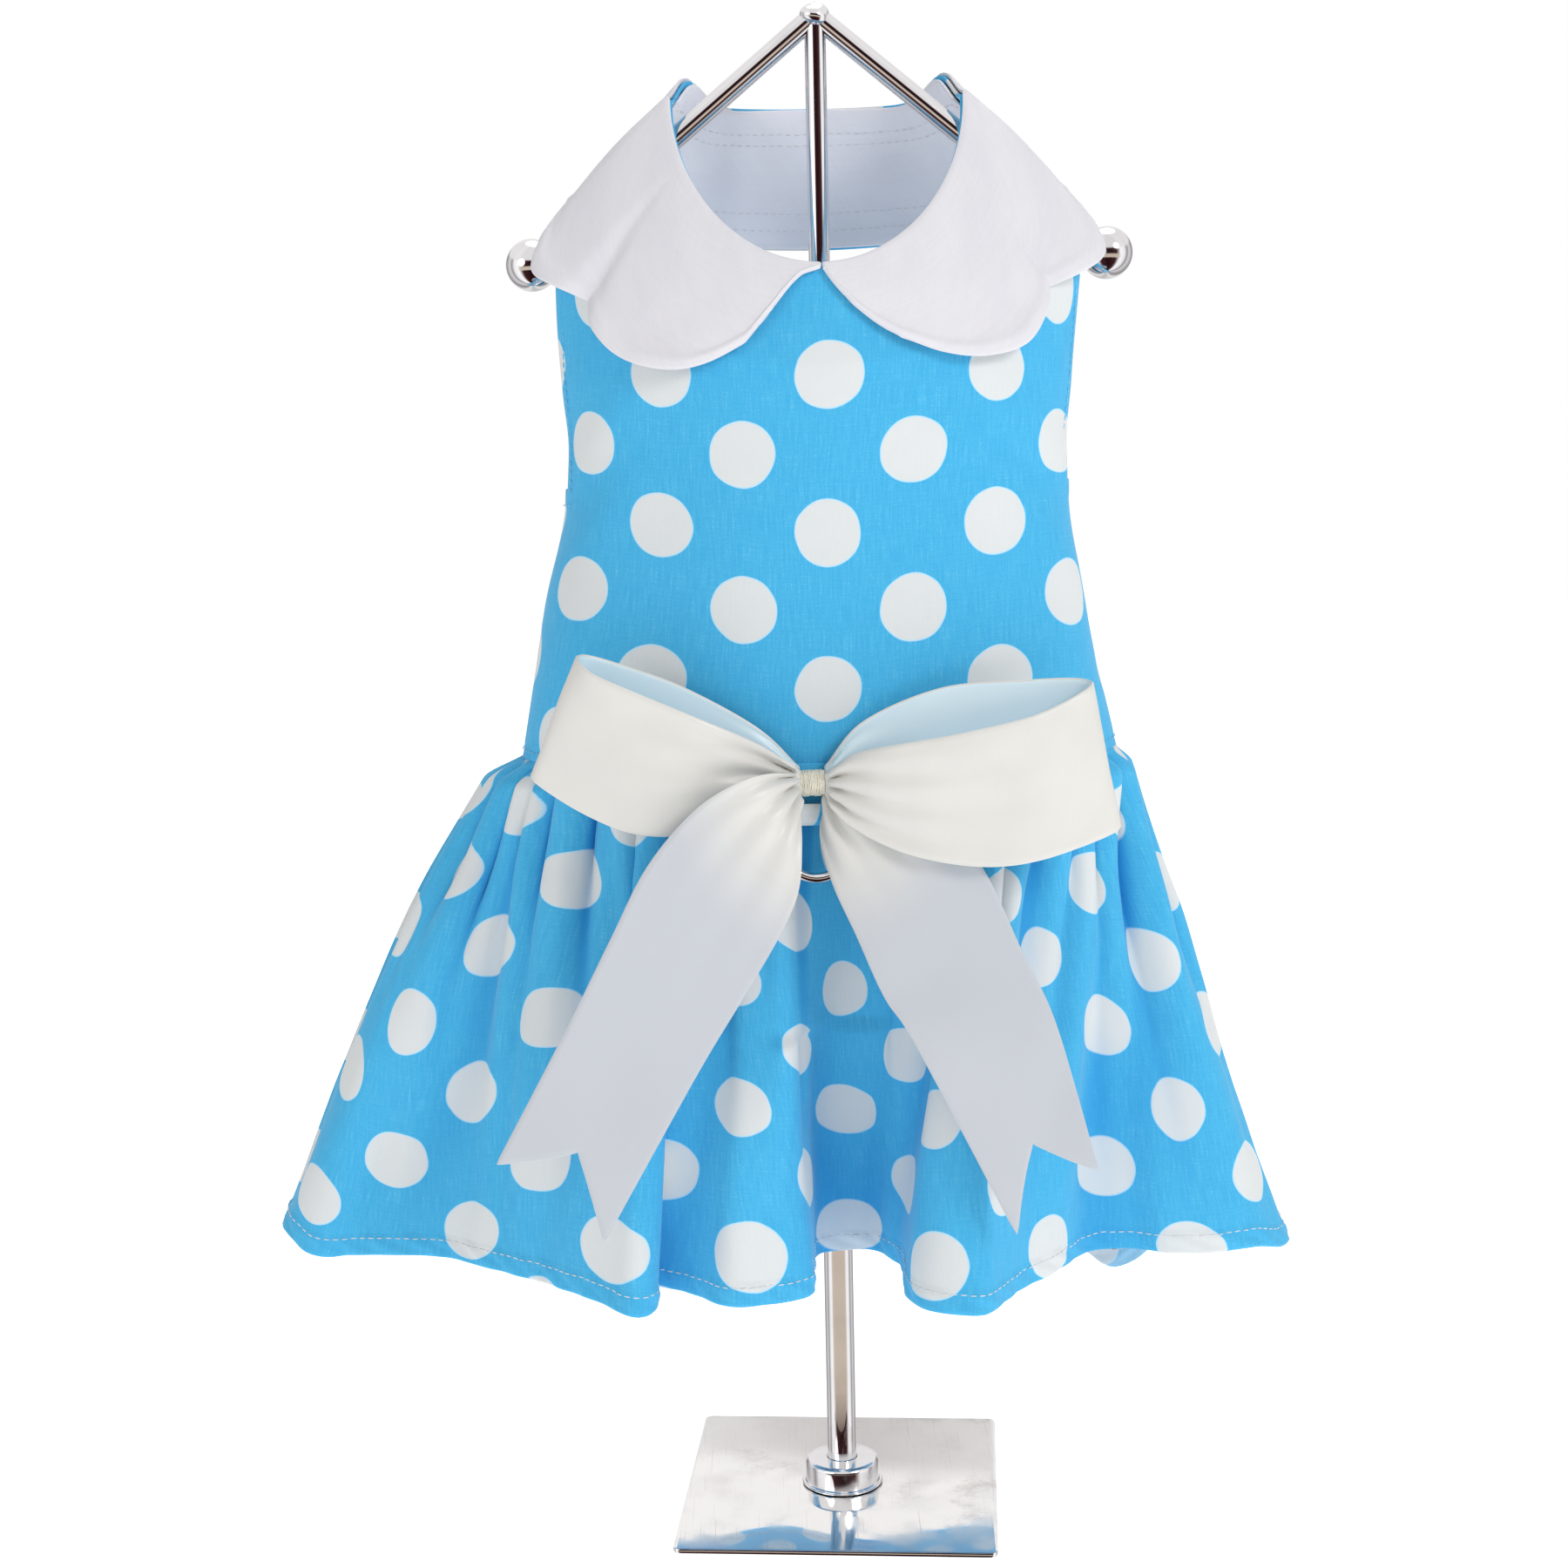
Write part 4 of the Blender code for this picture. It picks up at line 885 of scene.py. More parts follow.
# throat strap with its white lining, and the closing tabs
strap = {
    "edge": 100.6,
    "lining": 0.0010,
    "columns": 181,
    "rows": 25,
    "liningInset": 0.985,
    "liningSeams": (0.16, 0.27, 0.74, 0.86),
    "flat": (0.145, 0.053),
    "liningFlat": (0.14, 0.052),
    "tabSeam": 0.075,
    # angles from the front, and levels of the body's rings
    "throatTab": {"angles": (166, 194, 41), "levels": (0.06, 0.94, 41), "flat": (0.028, 0.046)},
    "bellyTab": {"angles": (166, 192, 41), "levels": (3.1, 4.8, 61), "flat": (0.038, 0.076)},
}


def patchGrid(angles, levels, offset, straight=True):
    a, v = np.meshgrid(angles, levels)
    n = bodyNormal(a, v, straight)
    middle = bodyPoint(a, v, straight) + n * np.asarray(offset)[..., None]
    return middle, n, runLength(middle, 1), runLength(middle, 0)


def makeTab(name, node, cut, straight, seed):
    # a closing tab over the cloth, stitched down near its four edges
    angles, levels = np.linspace(*cut["angles"]), np.linspace(*cut["levels"])
    offset = np.full((len(levels), len(angles)), body["layer"])
    middle, n, across, down = patchGrid(angles, levels, offset, straight)
    middle = middle + n * (ripple(across, down, 0.030, seed) * 0.0002)[..., None]
    piece = clothWalls(name, middle, n, body["cloth"], clothPlaces(across, -down), [skyCotton, skyCottonBack])
    hand(piece, "dress_cotton", node)
    lift = body["cloth"] / 2 + 0.0001
    lines = []
    for share in (strap["tabSeam"], 1 - strap["tabSeam"]):
        k = int(round(share * (len(angles) - 1)))
        lines.append((middle[:, k] + n[:, k] * lift, n[:, k]))
    for share in (strap["tabSeam"] * 1.6, 1 - strap["tabSeam"] * 1.6):
        k = int(round(share * (len(levels) - 1)))
        lines.append((middle[k] + n[k] * lift, n[k]))
    stitches = stitchRuns(name + "_stitches", lines, blueThread, "dress_cotton")


def makeStraps():
    around = np.linspace(strap["edge"], 360 - strap["edge"], strap["columns"])
    levels = np.linspace(0, 1, strap["rows"])
    outer, n, across, down = patchGrid(around, levels, np.zeros((len(levels), len(around))))
    outer = outer + n * (ripple(across, down, 0.045, 3) * 0.0004)[..., None]
    piece = clothWalls("throat_strap", outer, n, body["cloth"], clothPlaces(across, -down), [skyCotton])
    hand(piece, "dress_cotton", "neck_strap")
    inset = -(body["cloth"] + strap["lining"]) / 2 - 2 * gap
    levels = np.linspace(0.0, strap["liningInset"], strap["rows"])
    inner, n, across, down = patchGrid(around, levels, np.full((len(levels), len(around)), inset))
    inner = inner + n * (ripple(across, down * 0.7, 0.034, 6) * 0.0005)[..., None]
    lining = clothWalls("strap_lining", inner, n, strap["lining"], clothPlaces(across, -down), [liningCotton])
    hand(lining, "white_cotton", "neck_lining")
    lines = []
    for share in strap["liningSeams"]:
        k = int(round(share * (len(levels) - 1)))
        lines.append((inner[k] - n[k] * (strap["lining"] / 2 + 0.0001), -n[k]))
    stitches = stitchRuns("lining_stitches", lines, whiteThread, "white_cotton")
    makeTab("throat_tab", "neck_tab", strap["throatTab"], True, 1)
    makeTab("belly_closing_tab", "belly_tab", strap["bellyTab"], False, 2)


makeStraps()
print("dress: strap made")


# scalloped collar
collar = {
    "thick": 0.0011,
    "columns": 241,
    "rows": 45,
    "belly": 0.0014,
    "notches": (59.0, 92.0),
    "creaseDeep": 0.0026,
    "creaseWide": 4.0,
    "edgePuff": 0.0006,
    "flat": (0.155, 0.066),
    "flatArea": 0.0058,
    # angle from the front, reach down the yoke on each side, and how far the edge stands forward
    "edge": (
        (0.9, 0.04, 0.05, 0.00),
        (7.0, 0.12, 0.35, 0.00),
        (10.7, 0.28, 0.53, 0.02),
        (14.7, 0.57, 0.70, 0.05),
        (18.0, 0.85, 0.83, 0.10),
        (26.0, 1.14, 1.06, 0.15),
        (33.0, 1.25, 1.19, 0.15),
        (42.0, 1.26, 1.23, 0.15),
        (51.6, 1.17, 1.11, 0.14),
        (59.0, 1.03, 0.99, 0.12),
        (68.0, 1.13, 1.10, 0.24),
        (79.0, 1.21, 1.17, 0.32),
        (86.0, 1.08, 1.06, 0.20),
        (92.0, 0.90, 0.90, 0.00),
        (101.0, 0.93, 0.93, 0.00),
        (110.0, 0.84, 0.84, 0.00),
        (117.0, 0.55, 0.55, 0.00),
        (121.0, 0.15, 0.15, 0.00),
    ),
}


def collarEdge(angles, column):
    # each scallop is a smooth curve of its own, so the notches between them stay sharp
    rows = np.asarray(collar["edge"], float)
    cuts = [rows[0, 0], *collar["notches"], rows[-1, 0]]
    found = np.zeros_like(angles)
    for low, high in zip(cuts, cuts[1:]):
        part = rows[(rows[:, 0] >= low) & (rows[:, 0] <= high)]
        inside = (angles >= low) & (angles <= high)
        where = np.interp(angles[inside], part[:, 0], np.arange(len(part)))
        found[inside] = smoothAt(part, where)[:, column]
    return found


def makeCollar():
    for side, sign, column in (("left", -1, 1), ("right", 1, 2)):
        angles = np.sort(np.concatenate([np.linspace(0.9, 121, collar["columns"]), collar["notches"]]))
        reach = collarEdge(angles, column)
        forward = collarEdge(angles, 3) * 2 * stand["ballRadius"]
        share = np.linspace(0, 1, collar["rows"])[:, None] ** 0.9
        v = share * reach[None, :]
        a = np.broadcast_to(angles, v.shape)
        n = bodyNormal(sign * a, v, True)
        belly = np.sin(math.pi * np.clip(v, 0, 1)) * collar["belly"]
        crease = sum(bump(a, notch + (1 - share) * lean, collar["creaseWide"] * (0.35 + 0.65 * share)) * share ** 1.3
                     for notch, lean in zip(collar["notches"], (7.0, -2.0)))
        puff = bump(share, 0.94, 0.035) * collar["edgePuff"]
        slack = ripple(a * 0.0011, v * 0.045, 0.030, 12 + column) * 0.0005 * share
        middle = bodyPoint(sign * a, v, True)
        middle = middle + n * (body["layer"] + belly - crease * collar["creaseDeep"] + puff + slack)[..., None]
        middle[..., 1] -= share ** 2 * forward[None, :]
        normal = gridNormals(middle, False)
        normal = normal * np.sign((normal * n).sum(-1, keepdims=True))
        place = clothPlaces(runLength(middle, 1), -runLength(middle, 0))
        piece = clothWalls("collar_cloth_" + side, middle, normal, collar["thick"], place, [collarCotton], curl=0.5)
        hand(piece, "white_cotton", "collar_" + side)


makeCollar()
print("dress: collar made")


# skirt
skirt = {
    "long": 0.160,
    "hemHalf": 0.165,
    "hemToLeft": 0.018,
    "bell": 0.86,
    "bellLean": 0.10,
    "foldGrowth": 1.15,
    "flatPlace": 14,
    "frontColumns": 290,
    "farColumns": 172,
    "smoothSpan": 0.147,
    "hemWide": 0.0062,
    "hemThick": 0.0008,
    "recess": 0.020,
    "gather": {"Gather Pitch": 0.024, "Gather Depth": 0.0058, "Gather Fade": 0.26, "Lean": 0.7, "Fold Pitch": 0.066,
               "Fold Depth": 0.0030, "Crumple": 0.0008, "Seed": 3.0},
    # where dots of the print fall: across from the centre, down from the waist, column and row
    "dots": (
        (-0.1925, 0.015, -6, 0),
        (-0.1845, 0.061, -6, 2),
        (-0.2165, 0.099, -7, 3),
        (-0.1825, 0.107, -6, 4),
        (-0.1475, 0.076, -5, 3),
        (-0.2025, 0.143, -7, 5),
        (-0.1705, 0.152, -6, 6),
        (-0.042, 0.099, -2, 4),
        (-0.037, 0.145, -2, 6),
        (-0.0705, 0.125, -3, 5),
        (0.017, 0.074, 0, 2),
        (0.024, 0.121, 0, 4),
        (0.0578, 0.126, 1, 5),
        (-0.016, 0.115, -1, 5),
        (0.181, 0.085, 5, 3),
        (0.135, 0.060, 4, 2),
        (0.211, 0.070, 6, 2),
        (0.209, 0.116, 6, 4),
        (0.18, 0.133, 5, 5),
        (0.097, 0.150, 2, 6),
        (0.165, 0.038, 5, 1),
        (-0.1235, 0.033, -5, 1),
        (0.231, 0.150, 7, 5),
        (0.141, 0.149, 4, 6),
        (0.204, 0.160, 6, 6),
        (-0.017, 0.047, -1, 1),
        (-0.1145, 0.140, -4, 6),
        (-0.1405, 0.123, -5, 5),
    ),
    "flat": (0.92, 0.166),
    "flatArea": 0.150,
    # across from the hem's centre, depth from the pole, drop below the hem's level, as shares of hemHalf
    "front": (
        (-1.000, 0.100, -0.02),
        (-0.976, 0.006, -0.03),
        (-0.910, -0.050, 0.00),
        (-0.800, -0.058, 0.00),
        (-0.680, -0.072, 0.00),
        (-0.570, -0.130, 0.00),
        (-0.460, -0.225, 0.00),
        (-0.355, -0.318, 0.00),
        (-0.272, -0.384, 0.01),
        (-0.238, -0.335, 0.01),
        (-0.246, -0.262, 0.00),
        (-0.190, -0.290, 0.00),
        (-0.110, -0.364, 0.00),
        (-0.042, -0.362, 0.00),
        (0.046, -0.322, 0.00),
        (0.056, -0.215, 0.00),
        (0.070, -0.120, 0.00),
        (0.127, -0.082, 0.00),
        (0.196, -0.100, 0.00),
        (0.224, -0.210, 0.00),
        (0.234, -0.340, 0.00),
        (0.264, -0.402, 0.00),
        (0.315, -0.432, 0.00),
        (0.376, -0.430, 0.00),
        (0.442, -0.326, 0.00),
        (0.515, -0.218, 0.00),
        (0.588, -0.132, 0.00),
        (0.673, -0.118, 0.00),
        (0.745, -0.146, 0.00),
        (0.824, -0.150, 0.00),
        (0.909, -0.114, 0.00),
        (0.976, -0.060, 0.02),
        (1.000, 0.020, 0.02),
    ),
    "far": (
        (0.970, 0.120, 0.02),
        (0.890, 0.210, 0.05),
        (0.790, 0.280, 0.12),
        (0.690, 0.240, 0.17),
        (0.600, 0.320, 0.13),
        (0.480, 0.430, 0.04),
        (0.340, 0.390, 0.00),
        (0.210, 0.300, 0.00),
        (0.070, 0.370, 0.00),
        (-0.070, 0.450, 0.00),
        (-0.220, 0.390, 0.00),
        (-0.350, 0.300, 0.00),
        (-0.490, 0.370, 0.00),
        (-0.630, 0.400, 0.00),
        (-0.760, 0.290, 0.00),
        (-0.870, 0.250, 0.00),
        (-0.960, 0.200, -0.01),
    ),
}


def evenSteps(points, count):
    run = np.concatenate([[0], np.cumsum(np.linalg.norm(np.diff(points, axis=0), axis=1))])
    at = np.linspace(0, run[-1], count, endpoint=False)
    return np.stack([np.interp(at, run, points[:, k]) for k in range(3)], -1)


def hemLine():
    rows = np.asarray(skirt["far"][-1:] + skirt["front"] + skirt["far"] + skirt["front"][:3], float)
    lastFront = len(skirt["front"])
    lastFar = lastFront + len(skirt["far"]) + 1
    front = smoothAt(rows, np.linspace(1, lastFront, 2400))
    far = smoothAt(rows, np.linspace(lastFront, lastFar, 1800))
    hem = np.concatenate([evenSteps(front, skirt["frontColumns"]), evenSteps(far, skirt["farColumns"])])
    out, depth, drop = (skirt["hemHalf"] * hem).T
    return np.stack([out - skirt["hemToLeft"], depth, waistHigh - skirt["long"] - drop], -1)


def makeSkirt():
    hem = hemLine()
    count = len(hem)
    angles = np.concatenate([np.linspace(-90, 90, skirt["frontColumns"], endpoint=False),
                             np.linspace(90, 270, skirt["farColumns"], endpoint=False)])
    waist = bodyPoint(angles, np.full(count, 5.0))
    waist[:, 2] -= 0.0004
    span = int(skirt["smoothSpan"] * count) | 1
    window = np.hanning(span)
    window /= window.sum()
    mean = sum(share * np.roll(hem, span // 2 - k, axis=0) for k, share in enumerate(window))
    bell = (skirt["bell"] + skirt["bellLean"] * np.sin(np.radians(angles)))[:, None]
    hemStart = 1 - 1.3 * skirt["hemWide"] / skirt["long"]
    shares = np.concatenate([np.linspace(0, 0.06, 9)[:-1], np.linspace(0.06, hemStart, 68)[:-1],
                             np.linspace(hemStart, 1, 15)])
    grid = []
    for t in shares:
        row = waist + (mean - waist) * t ** bell + (hem - mean) * t ** skirt["foldGrowth"]
        row[:, 2] = waist[:, 2] + (hem[:, 2] - waist[:, 2]) * t
        grid.append(row)
    grid = np.array(grid)
    closed = np.concatenate([hem, hem[:1]])
    along = runLength(closed[None], 1)[0]
    first = skirt["frontColumns"] // 2
    across = (along - along[first])[None, :].repeat(len(shares), 0)
    down = runLength(grid, 0)
    place = printPlaces(across, np.concatenate([down, down[:, :1]], 1), skirt["dots"])
    normal = gridNormals(grid, True)
    turnOut = np.stack([np.sin(np.radians(angles)), -np.cos(np.radians(angles)), np.zeros(count)], -1)
    normal = normal * np.sign((normal * turnOut[None]).sum(-1).sum(0, keepdims=True))[..., None]
    fromHem = down[-1:] - down
    inHem = ease(fromHem, skirt["hemWide"] + 0.0006, skirt["hemWide"] - 0.0003)
    thick = 0.0010 + skirt["hemThick"] * inHem - 0.0004 * bump(fromHem, skirt["hemWide"] - 0.0007, 0.0006)
    rope = np.sin((across[:, :-1] + fromHem * 1.6) * 2 * math.pi / 0.011 + 2.2 * ripple(across[:, :-1], 0, 0.06, 9))
    pull = 0.00035 * rope * bump(fromHem, 0.0028, 0.0036)
    piece = clothWalls("skirt_cloth", grid + normal * pull[..., None], normal, thick, place,
                       [skyCotton, skyCottonBack], True)

    # the gather tree reads each point's place on the cut and the way that it may move
    calm = 1 - bump(angles, 0, skirt["flatPlace"])
    blend = ease(shares, 0.0, 0.5)[:, None, None]
    quiet = np.where(shares[:, None] < 0.5, calm[None], 1.0)
    way = unit(turnOut[None] * (1 - blend) + normal * blend) * quiet[..., None]
    cut = np.stack([across[:, :-1], down, shares[:, None].repeat(count, 1)], -1)
    ways, cuts = (np.concatenate([g.reshape(-1, 3), g.reshape(-1, 3), g[0], g[-1]]) for g in (way, cut))
    # how far each point stands out past the skirt's mean; where it lies back, the finish paints shade
    standsOut = ((hem - mean) * turnOut).sum(-1)[None, :] * shares[:, None] ** skirt["foldGrowth"] / skirt["recess"]
    stands = np.concatenate([standsOut.ravel(), standsOut.ravel(), standsOut[0], standsOut[-1]])
    for name, kind, key, values in (("outward", "FLOAT_VECTOR", "vector", ways),
                                    ("cutPlace", "FLOAT_VECTOR", "vector", cuts),
                                    ("hemFold", "FLOAT", "value", stands)):
        piece.data.attributes.new(name, kind, "POINT").data.foreach_set(key, values.astype(np.float32).ravel())
    bakeTree(piece, gatherTree, {**skirt["gather"], "Finish": skyCotton, "Back Finish": skyCottonBack})
    hand(piece, "dress_cotton", "skirt")

    points = np.zeros(len(piece.data.vertices) * 3)
    piece.data.vertices.foreach_get("co", points)
    points = points.reshape(-1, 3)
    size = len(shares) * count
    outer = points[:size].reshape(len(shares), count, 3)
    inner = points[size : 2 * size].reshape(len(shares), count, 3)
    out = unit(outer - inner)

    def rowAt(distance, side):
        k = int(np.argmin(np.abs(fromHem[:, 0] - distance)))
        line = (outer if side > 0 else inner)[k]
        lift = out[k] * side
        closedLine = np.concatenate([line, line[:1]]) + np.concatenate([lift, lift[:1]]) * 0.0001
        return closedLine, np.concatenate([lift, lift[:1]])

    seam = skirt["hemWide"] - 0.0007
    outside = stitchRuns("hem_stitches", [rowAt(seam, 1), rowAt(seam, -1)], whiteThread, "dress_cotton",
                         pitch=0.0029, length=0.0023, size=0.00020)
    overlock = stitchRuns("hem_overlock", [rowAt(skirt["hemWide"] + 0.0004, -1)], whiteThread, "dress_cotton",
                          pitch=0.0011, length=0.0030, size=0.00015, slant=1.25, wander=0.0001)
    return piece


makeSkirt()
print("dress: skirt made")


# bow
bow = {
    "ribbon": 1.5 * inch,
    "thick": 0.0009,
    "knotToLeft": 0.006,
    "knotBelowWaist": 0.002,
    "knotRadius": 0.0052,
    "knotHalf": 0.0036,
    "tabThick": 0.0010,
    "notch": 0.055,
    "loopSteps": 190,
    "tailSteps": 150,
    "flat": {"loop_left": (0.0381, 0.155), "loop_right": (0.0381, 0.180),
             "tail_left": (0.0381, 0.150), "tail_right": (0.0381, 0.145)},
    "pleats": 3.5,
    "pleatDeep": 0.0021,
    # upper edge x, y, z and lower edge x, y, z along each ribbon, in ribbon widths from the knot
    "loopLeft": (
        (-0.105, -0.080, 0.110, -0.105, -0.080, -0.080),
        (-0.420, -0.240, 0.340, -0.420, -0.220, -0.180),
        (-0.840, -0.420, 0.560, -0.900, -0.400, -0.300),
        (-1.310, -0.440, 0.770, -1.340, -0.420, -0.290),
        (-1.640, -0.360, 0.920, -1.760, -0.340, -0.130),
        (-1.760, -0.200, 1.020, -2.130, -0.200, 0.100),
        (-1.690, -0.030, 1.020, -2.050, -0.020, 0.110),
        (-1.400, 0.030, 0.920, -1.600, 0.040, -0.060),
        (-0.960, 0.050, 0.740, -1.000, 0.060, -0.180),
        (-0.420, 0.060, 0.420, -0.460, 0.070, -0.120),
        (-0.105, 0.075, 0.110, -0.105, 0.075, -0.080),
    ),
    "loopRight": (
        (0.105, -0.085, 0.080, 0.105, -0.085, -0.090),
        (0.300, -0.230, 0.240, 0.300, -0.220, -0.300),
        (0.640, -0.410, 0.330, 0.700, -0.380, -0.490),
        (1.180, -0.480, 0.430, 1.250, -0.460, -0.590),
        (1.700, -0.420, 0.540, 1.750, -0.420, -0.550),
        (2.110, -0.220, 0.710, 2.310, -0.200, -0.390),
        (2.060, -0.060, 0.760, 2.230, -0.020, -0.350),
        (1.640, 0.000, 0.750, 1.700, 0.040, -0.350),
        (1.000, 0.040, 0.700, 1.000, 0.050, -0.330),
        (0.400, 0.060, 0.450, 0.400, 0.060, -0.170),
        (0.105, 0.075, 0.110, 0.105, 0.075, -0.070),
    ),
    "tailLeft": (
        (-0.105, -0.150, 0.090, -0.105, -0.150, -0.090),
        (-0.420, -0.500, 0.130, -0.100, -0.420, -0.420),
        (-0.840, -0.620, -0.060, -0.140, -0.520, -0.760),
        (-1.240, -0.640, -0.500, -0.300, -0.560, -1.100),
        (-1.550, -0.600, -1.080, -0.580, -0.570, -1.560),
        (-1.900, -0.560, -1.760, -0.960, -0.560, -2.180),
        (-2.480, -0.560, -2.820, -1.680, -0.580, -3.440),
    ),
    "tailRight": (
        (0.105, -0.005, -0.085, 0.105, -0.005, 0.080),
        (0.050, -0.080, -0.380, 0.440, -0.150, -0.060),
        (0.140, -0.220, -0.740, 0.900, -0.250, -0.260),
        (0.320, -0.340, -1.140, 1.260, -0.300, -0.620),
        (0.520, -0.420, -1.600, 1.580, -0.380, -1.320),
        (0.760, -0.500, -1.980, 1.820, -0.440, -1.860),
        (1.500, -0.580, -3.460, 2.120, -0.560, -2.960),
    ),
}
seamY = -body["waistHalf"] * body["rings"][5][1] - body["cloth"] / 2
tabY = seamY - gap - bow["tabThick"] / 2
ringWire = 0.0625 * inch
ringY = tabY - bow["tabThick"] / 2 - gap - ringWire
knotY = tabY - bow["tabThick"] / 2 - gap - bow["knotRadius"]
knot = np.array([-bow["knotToLeft"], knotY, waistHigh - bow["knotBelowWaist"]])


def makeRibbon(name, stations, steps, seed, notch=0.0, ends=1):
    columns = 31
    rows = np.asarray(stations, float) * bow["ribbon"]
    share = np.linspace(0, 1, columns)
    reach = 1 - notch * (1 - np.abs(2 * share - 1))
    grid = np.zeros((steps + 1, columns, 3))
    for k, across in enumerate(share):
        values = smoothAt(rows, np.linspace(0, reach[k], steps + 1) * (len(rows) - 1))
        grid[:, k] = values[:, :3] + (values[:, 3:] - values[:, :3]) * across + knot
    normal = gridNormals(grid, False)
    down = runLength(grid, 0)
    # pinch pleats that fan out from the binding and die away along the ribbon
    near = np.exp(-down / 0.017) * ease(down, 0.0, 0.004)
    if ends == 2:
        back = down[-1:] - down
        near = near + 0.7 * np.exp(-back / 0.014) * ease(back, 0.0, 0.004)
    pleat = np.sin(share[None, :] * 2 * math.pi * bow["pleats"] + seed) * near * bow["pleatDeep"]
    slack = ripple(share[None, :] * bow["ribbon"], down, 0.045, seed + 20) * 0.0005 * ease(down, 0.004, 0.03)
    if ends == 2:
        slack = slack * ease(down[-1:] - down, 0.004, 0.03)
    grid = grid + normal * (pleat + slack)[..., None]
    normal = gridNormals(grid, False)
    across = runLength(grid, 1)
    place = clothPlaces(np.broadcast_to(share * bow["ribbon"], down.shape), -down)
    selvedge = np.minimum(across, across[:, -1:] - across)
    thick = bow["thick"] + 0.00012 * bump(selvedge, 0.0004, 0.0005)
    finishes = [tailSatin] if ends == 1 else [bowSatin, bowSatinInnerBounce]
    facing = normal if ends == 1 else normal * np.sign(-normal[3, :, 1].mean())
    piece = clothWalls(name, grid, facing, thick, place, finishes)
    hand(piece, "satin_ribbon", "bow_" + name)


def makeBow():
    # the binding: a soft pinched core under a wound thread
    profile = [(0, -bow["knotHalf"])]
    for k in range(25):
        x = -1 + 2 * k / 24
        profile.append((bow["knotRadius"] * (0.62 + 0.16 * x * x - 0.06 * x ** 4), bow["knotHalf"] * x))
    profile.append((0, bow["knotHalf"]))
    matrix = Matrix.Translation(Vector(knot)) @ Matrix.Rotation(math.pi / 2, 4, "Y")
    core = turned("bow_binding", profile, matrix, creamThread, 40, crease=80)
    hand(core, "satin_ribbon", "bow_knot")
    coil = bpy.data.objects.new("binding_coil", bpy.data.meshes.new("binding_coil"))
    bpy.context.scene.collection.objects.link(coil)
    bakeTree(coil, coilTree, {"Turns": 9.0, "Radius": bow["knotRadius"] * 0.68, "Width": bow["knotHalf"] * 1.5,
                              "Thread": 0.00036, "Centre": tuple(float(c) for c in knot), "Finish": creamThread})
    hand(coil, "satin_ribbon")
    makeRibbon("loop_left", bow["loopLeft"], bow["loopSteps"], 1, ends=2)
    makeRibbon("loop_right", bow["loopRight"], bow["loopSteps"], 2, ends=2)
    makeRibbon("tail_left", bow["tailLeft"], bow["tailSteps"], 3, bow["notch"])
    makeRibbon("tail_right", bow["tailRight"], bow["tailSteps"], 4, bow["notch"])


makeBow()
print("dress: bow made")


# leash ring in its folded tab
leash = {
    "halfWide": 0.0124,
    "x": -0.005,
    "barBelowWaist": 0.0125,
    "arcDown": 0.0188,
    "tabHalf": 0.0088,
    "tabUp": 0.0036,
    "tabTop": 0.0150,
    "flat": (0.0176, 0.026),
}


barHigh = waistHigh - leash["barBelowWaist"]


def makeLeashRing():
    line = []
    for k in range(65):
        a = math.pi * k / 64
        line.append((leash["halfWide"] * math.cos(a), -leash["arcDown"] * max(math.sin(a), 0) ** 0.8))
    line += [(-leash["halfWide"] + 2 * leash["halfWide"] * k / 24, 0.0) for k in range(1, 24)]
    # equal steps round the D, with its two corners eased
    path = np.array([(leash["x"] + x, ringY, barHigh + z) for x, z in line])
    path = evenSteps(np.concatenate([path, path[:1]]), 140)
    for _ in range(6):
        path = 0.5 * path + 0.25 * (np.roll(path, 1, 0) + np.roll(path, -1, 0))
    mesh = bpy.data.meshes.new("ring_line")
    mesh.from_pydata(path.tolist(), [(k, (k + 1) % len(path)) for k in range(len(path))], [])
    ring = bpy.data.objects.new("leash_ring_wire", mesh)
    bpy.context.scene.collection.objects.link(ring)
    bakeTree(ring, rodTree, {"Radius": ringWire, "Sides": 20, "Finish": rodSteel})
    ring.data.polygons.foreach_set("use_smooth", np.ones(len(ring.data.polygons), bool))
    hand(ring, "chrome_steel", "d_ring")

    thick = bow["tabThick"]
    radius = ringWire + gap + thick / 2
    side = [(-radius, leash["tabUp"]), (-radius, leash["tabUp"] / 2)]
    side += [(-radius * math.cos(math.pi * k / 24), -radius * math.sin(math.pi * k / 24)) for k in range(25)]
    side += [(radius, high) for high in (leash["tabUp"] / 2, leash["tabUp"], leash["tabTop"] / 2, leash["tabTop"])]
    columns = np.linspace(-leash["tabHalf"], leash["tabHalf"], 21)
    grid = np.zeros((len(side), len(columns), 3))
    for j, (y, z) in enumerate(side):
        grid[j, :, 0] = leash["x"] + columns
        grid[j, :, 1] = ringY + y
        grid[j, :, 2] = barHigh + z
    normal = gridNormals(grid, False)
    normal = normal * np.sign(-normal[0, :, 1].mean())
    place = clothPlaces(runLength(grid, 1), -runLength(grid, 0))
    tab = clothWalls("ring_tab_cloth", grid, normal, thick, place, [skyCotton])
    hand(tab, "dress_cotton", "ring_tab")
    lines = []
    for k in (2, 18):
        lines.append((grid[:, k] + normal[:, k] * (thick / 2 + 0.00005), normal[:, k]))
    stitches = stitchRuns("ring_tab_stitches", lines, blueThread, "dress_cotton")


makeLeashRing()
print("dress: ring made")


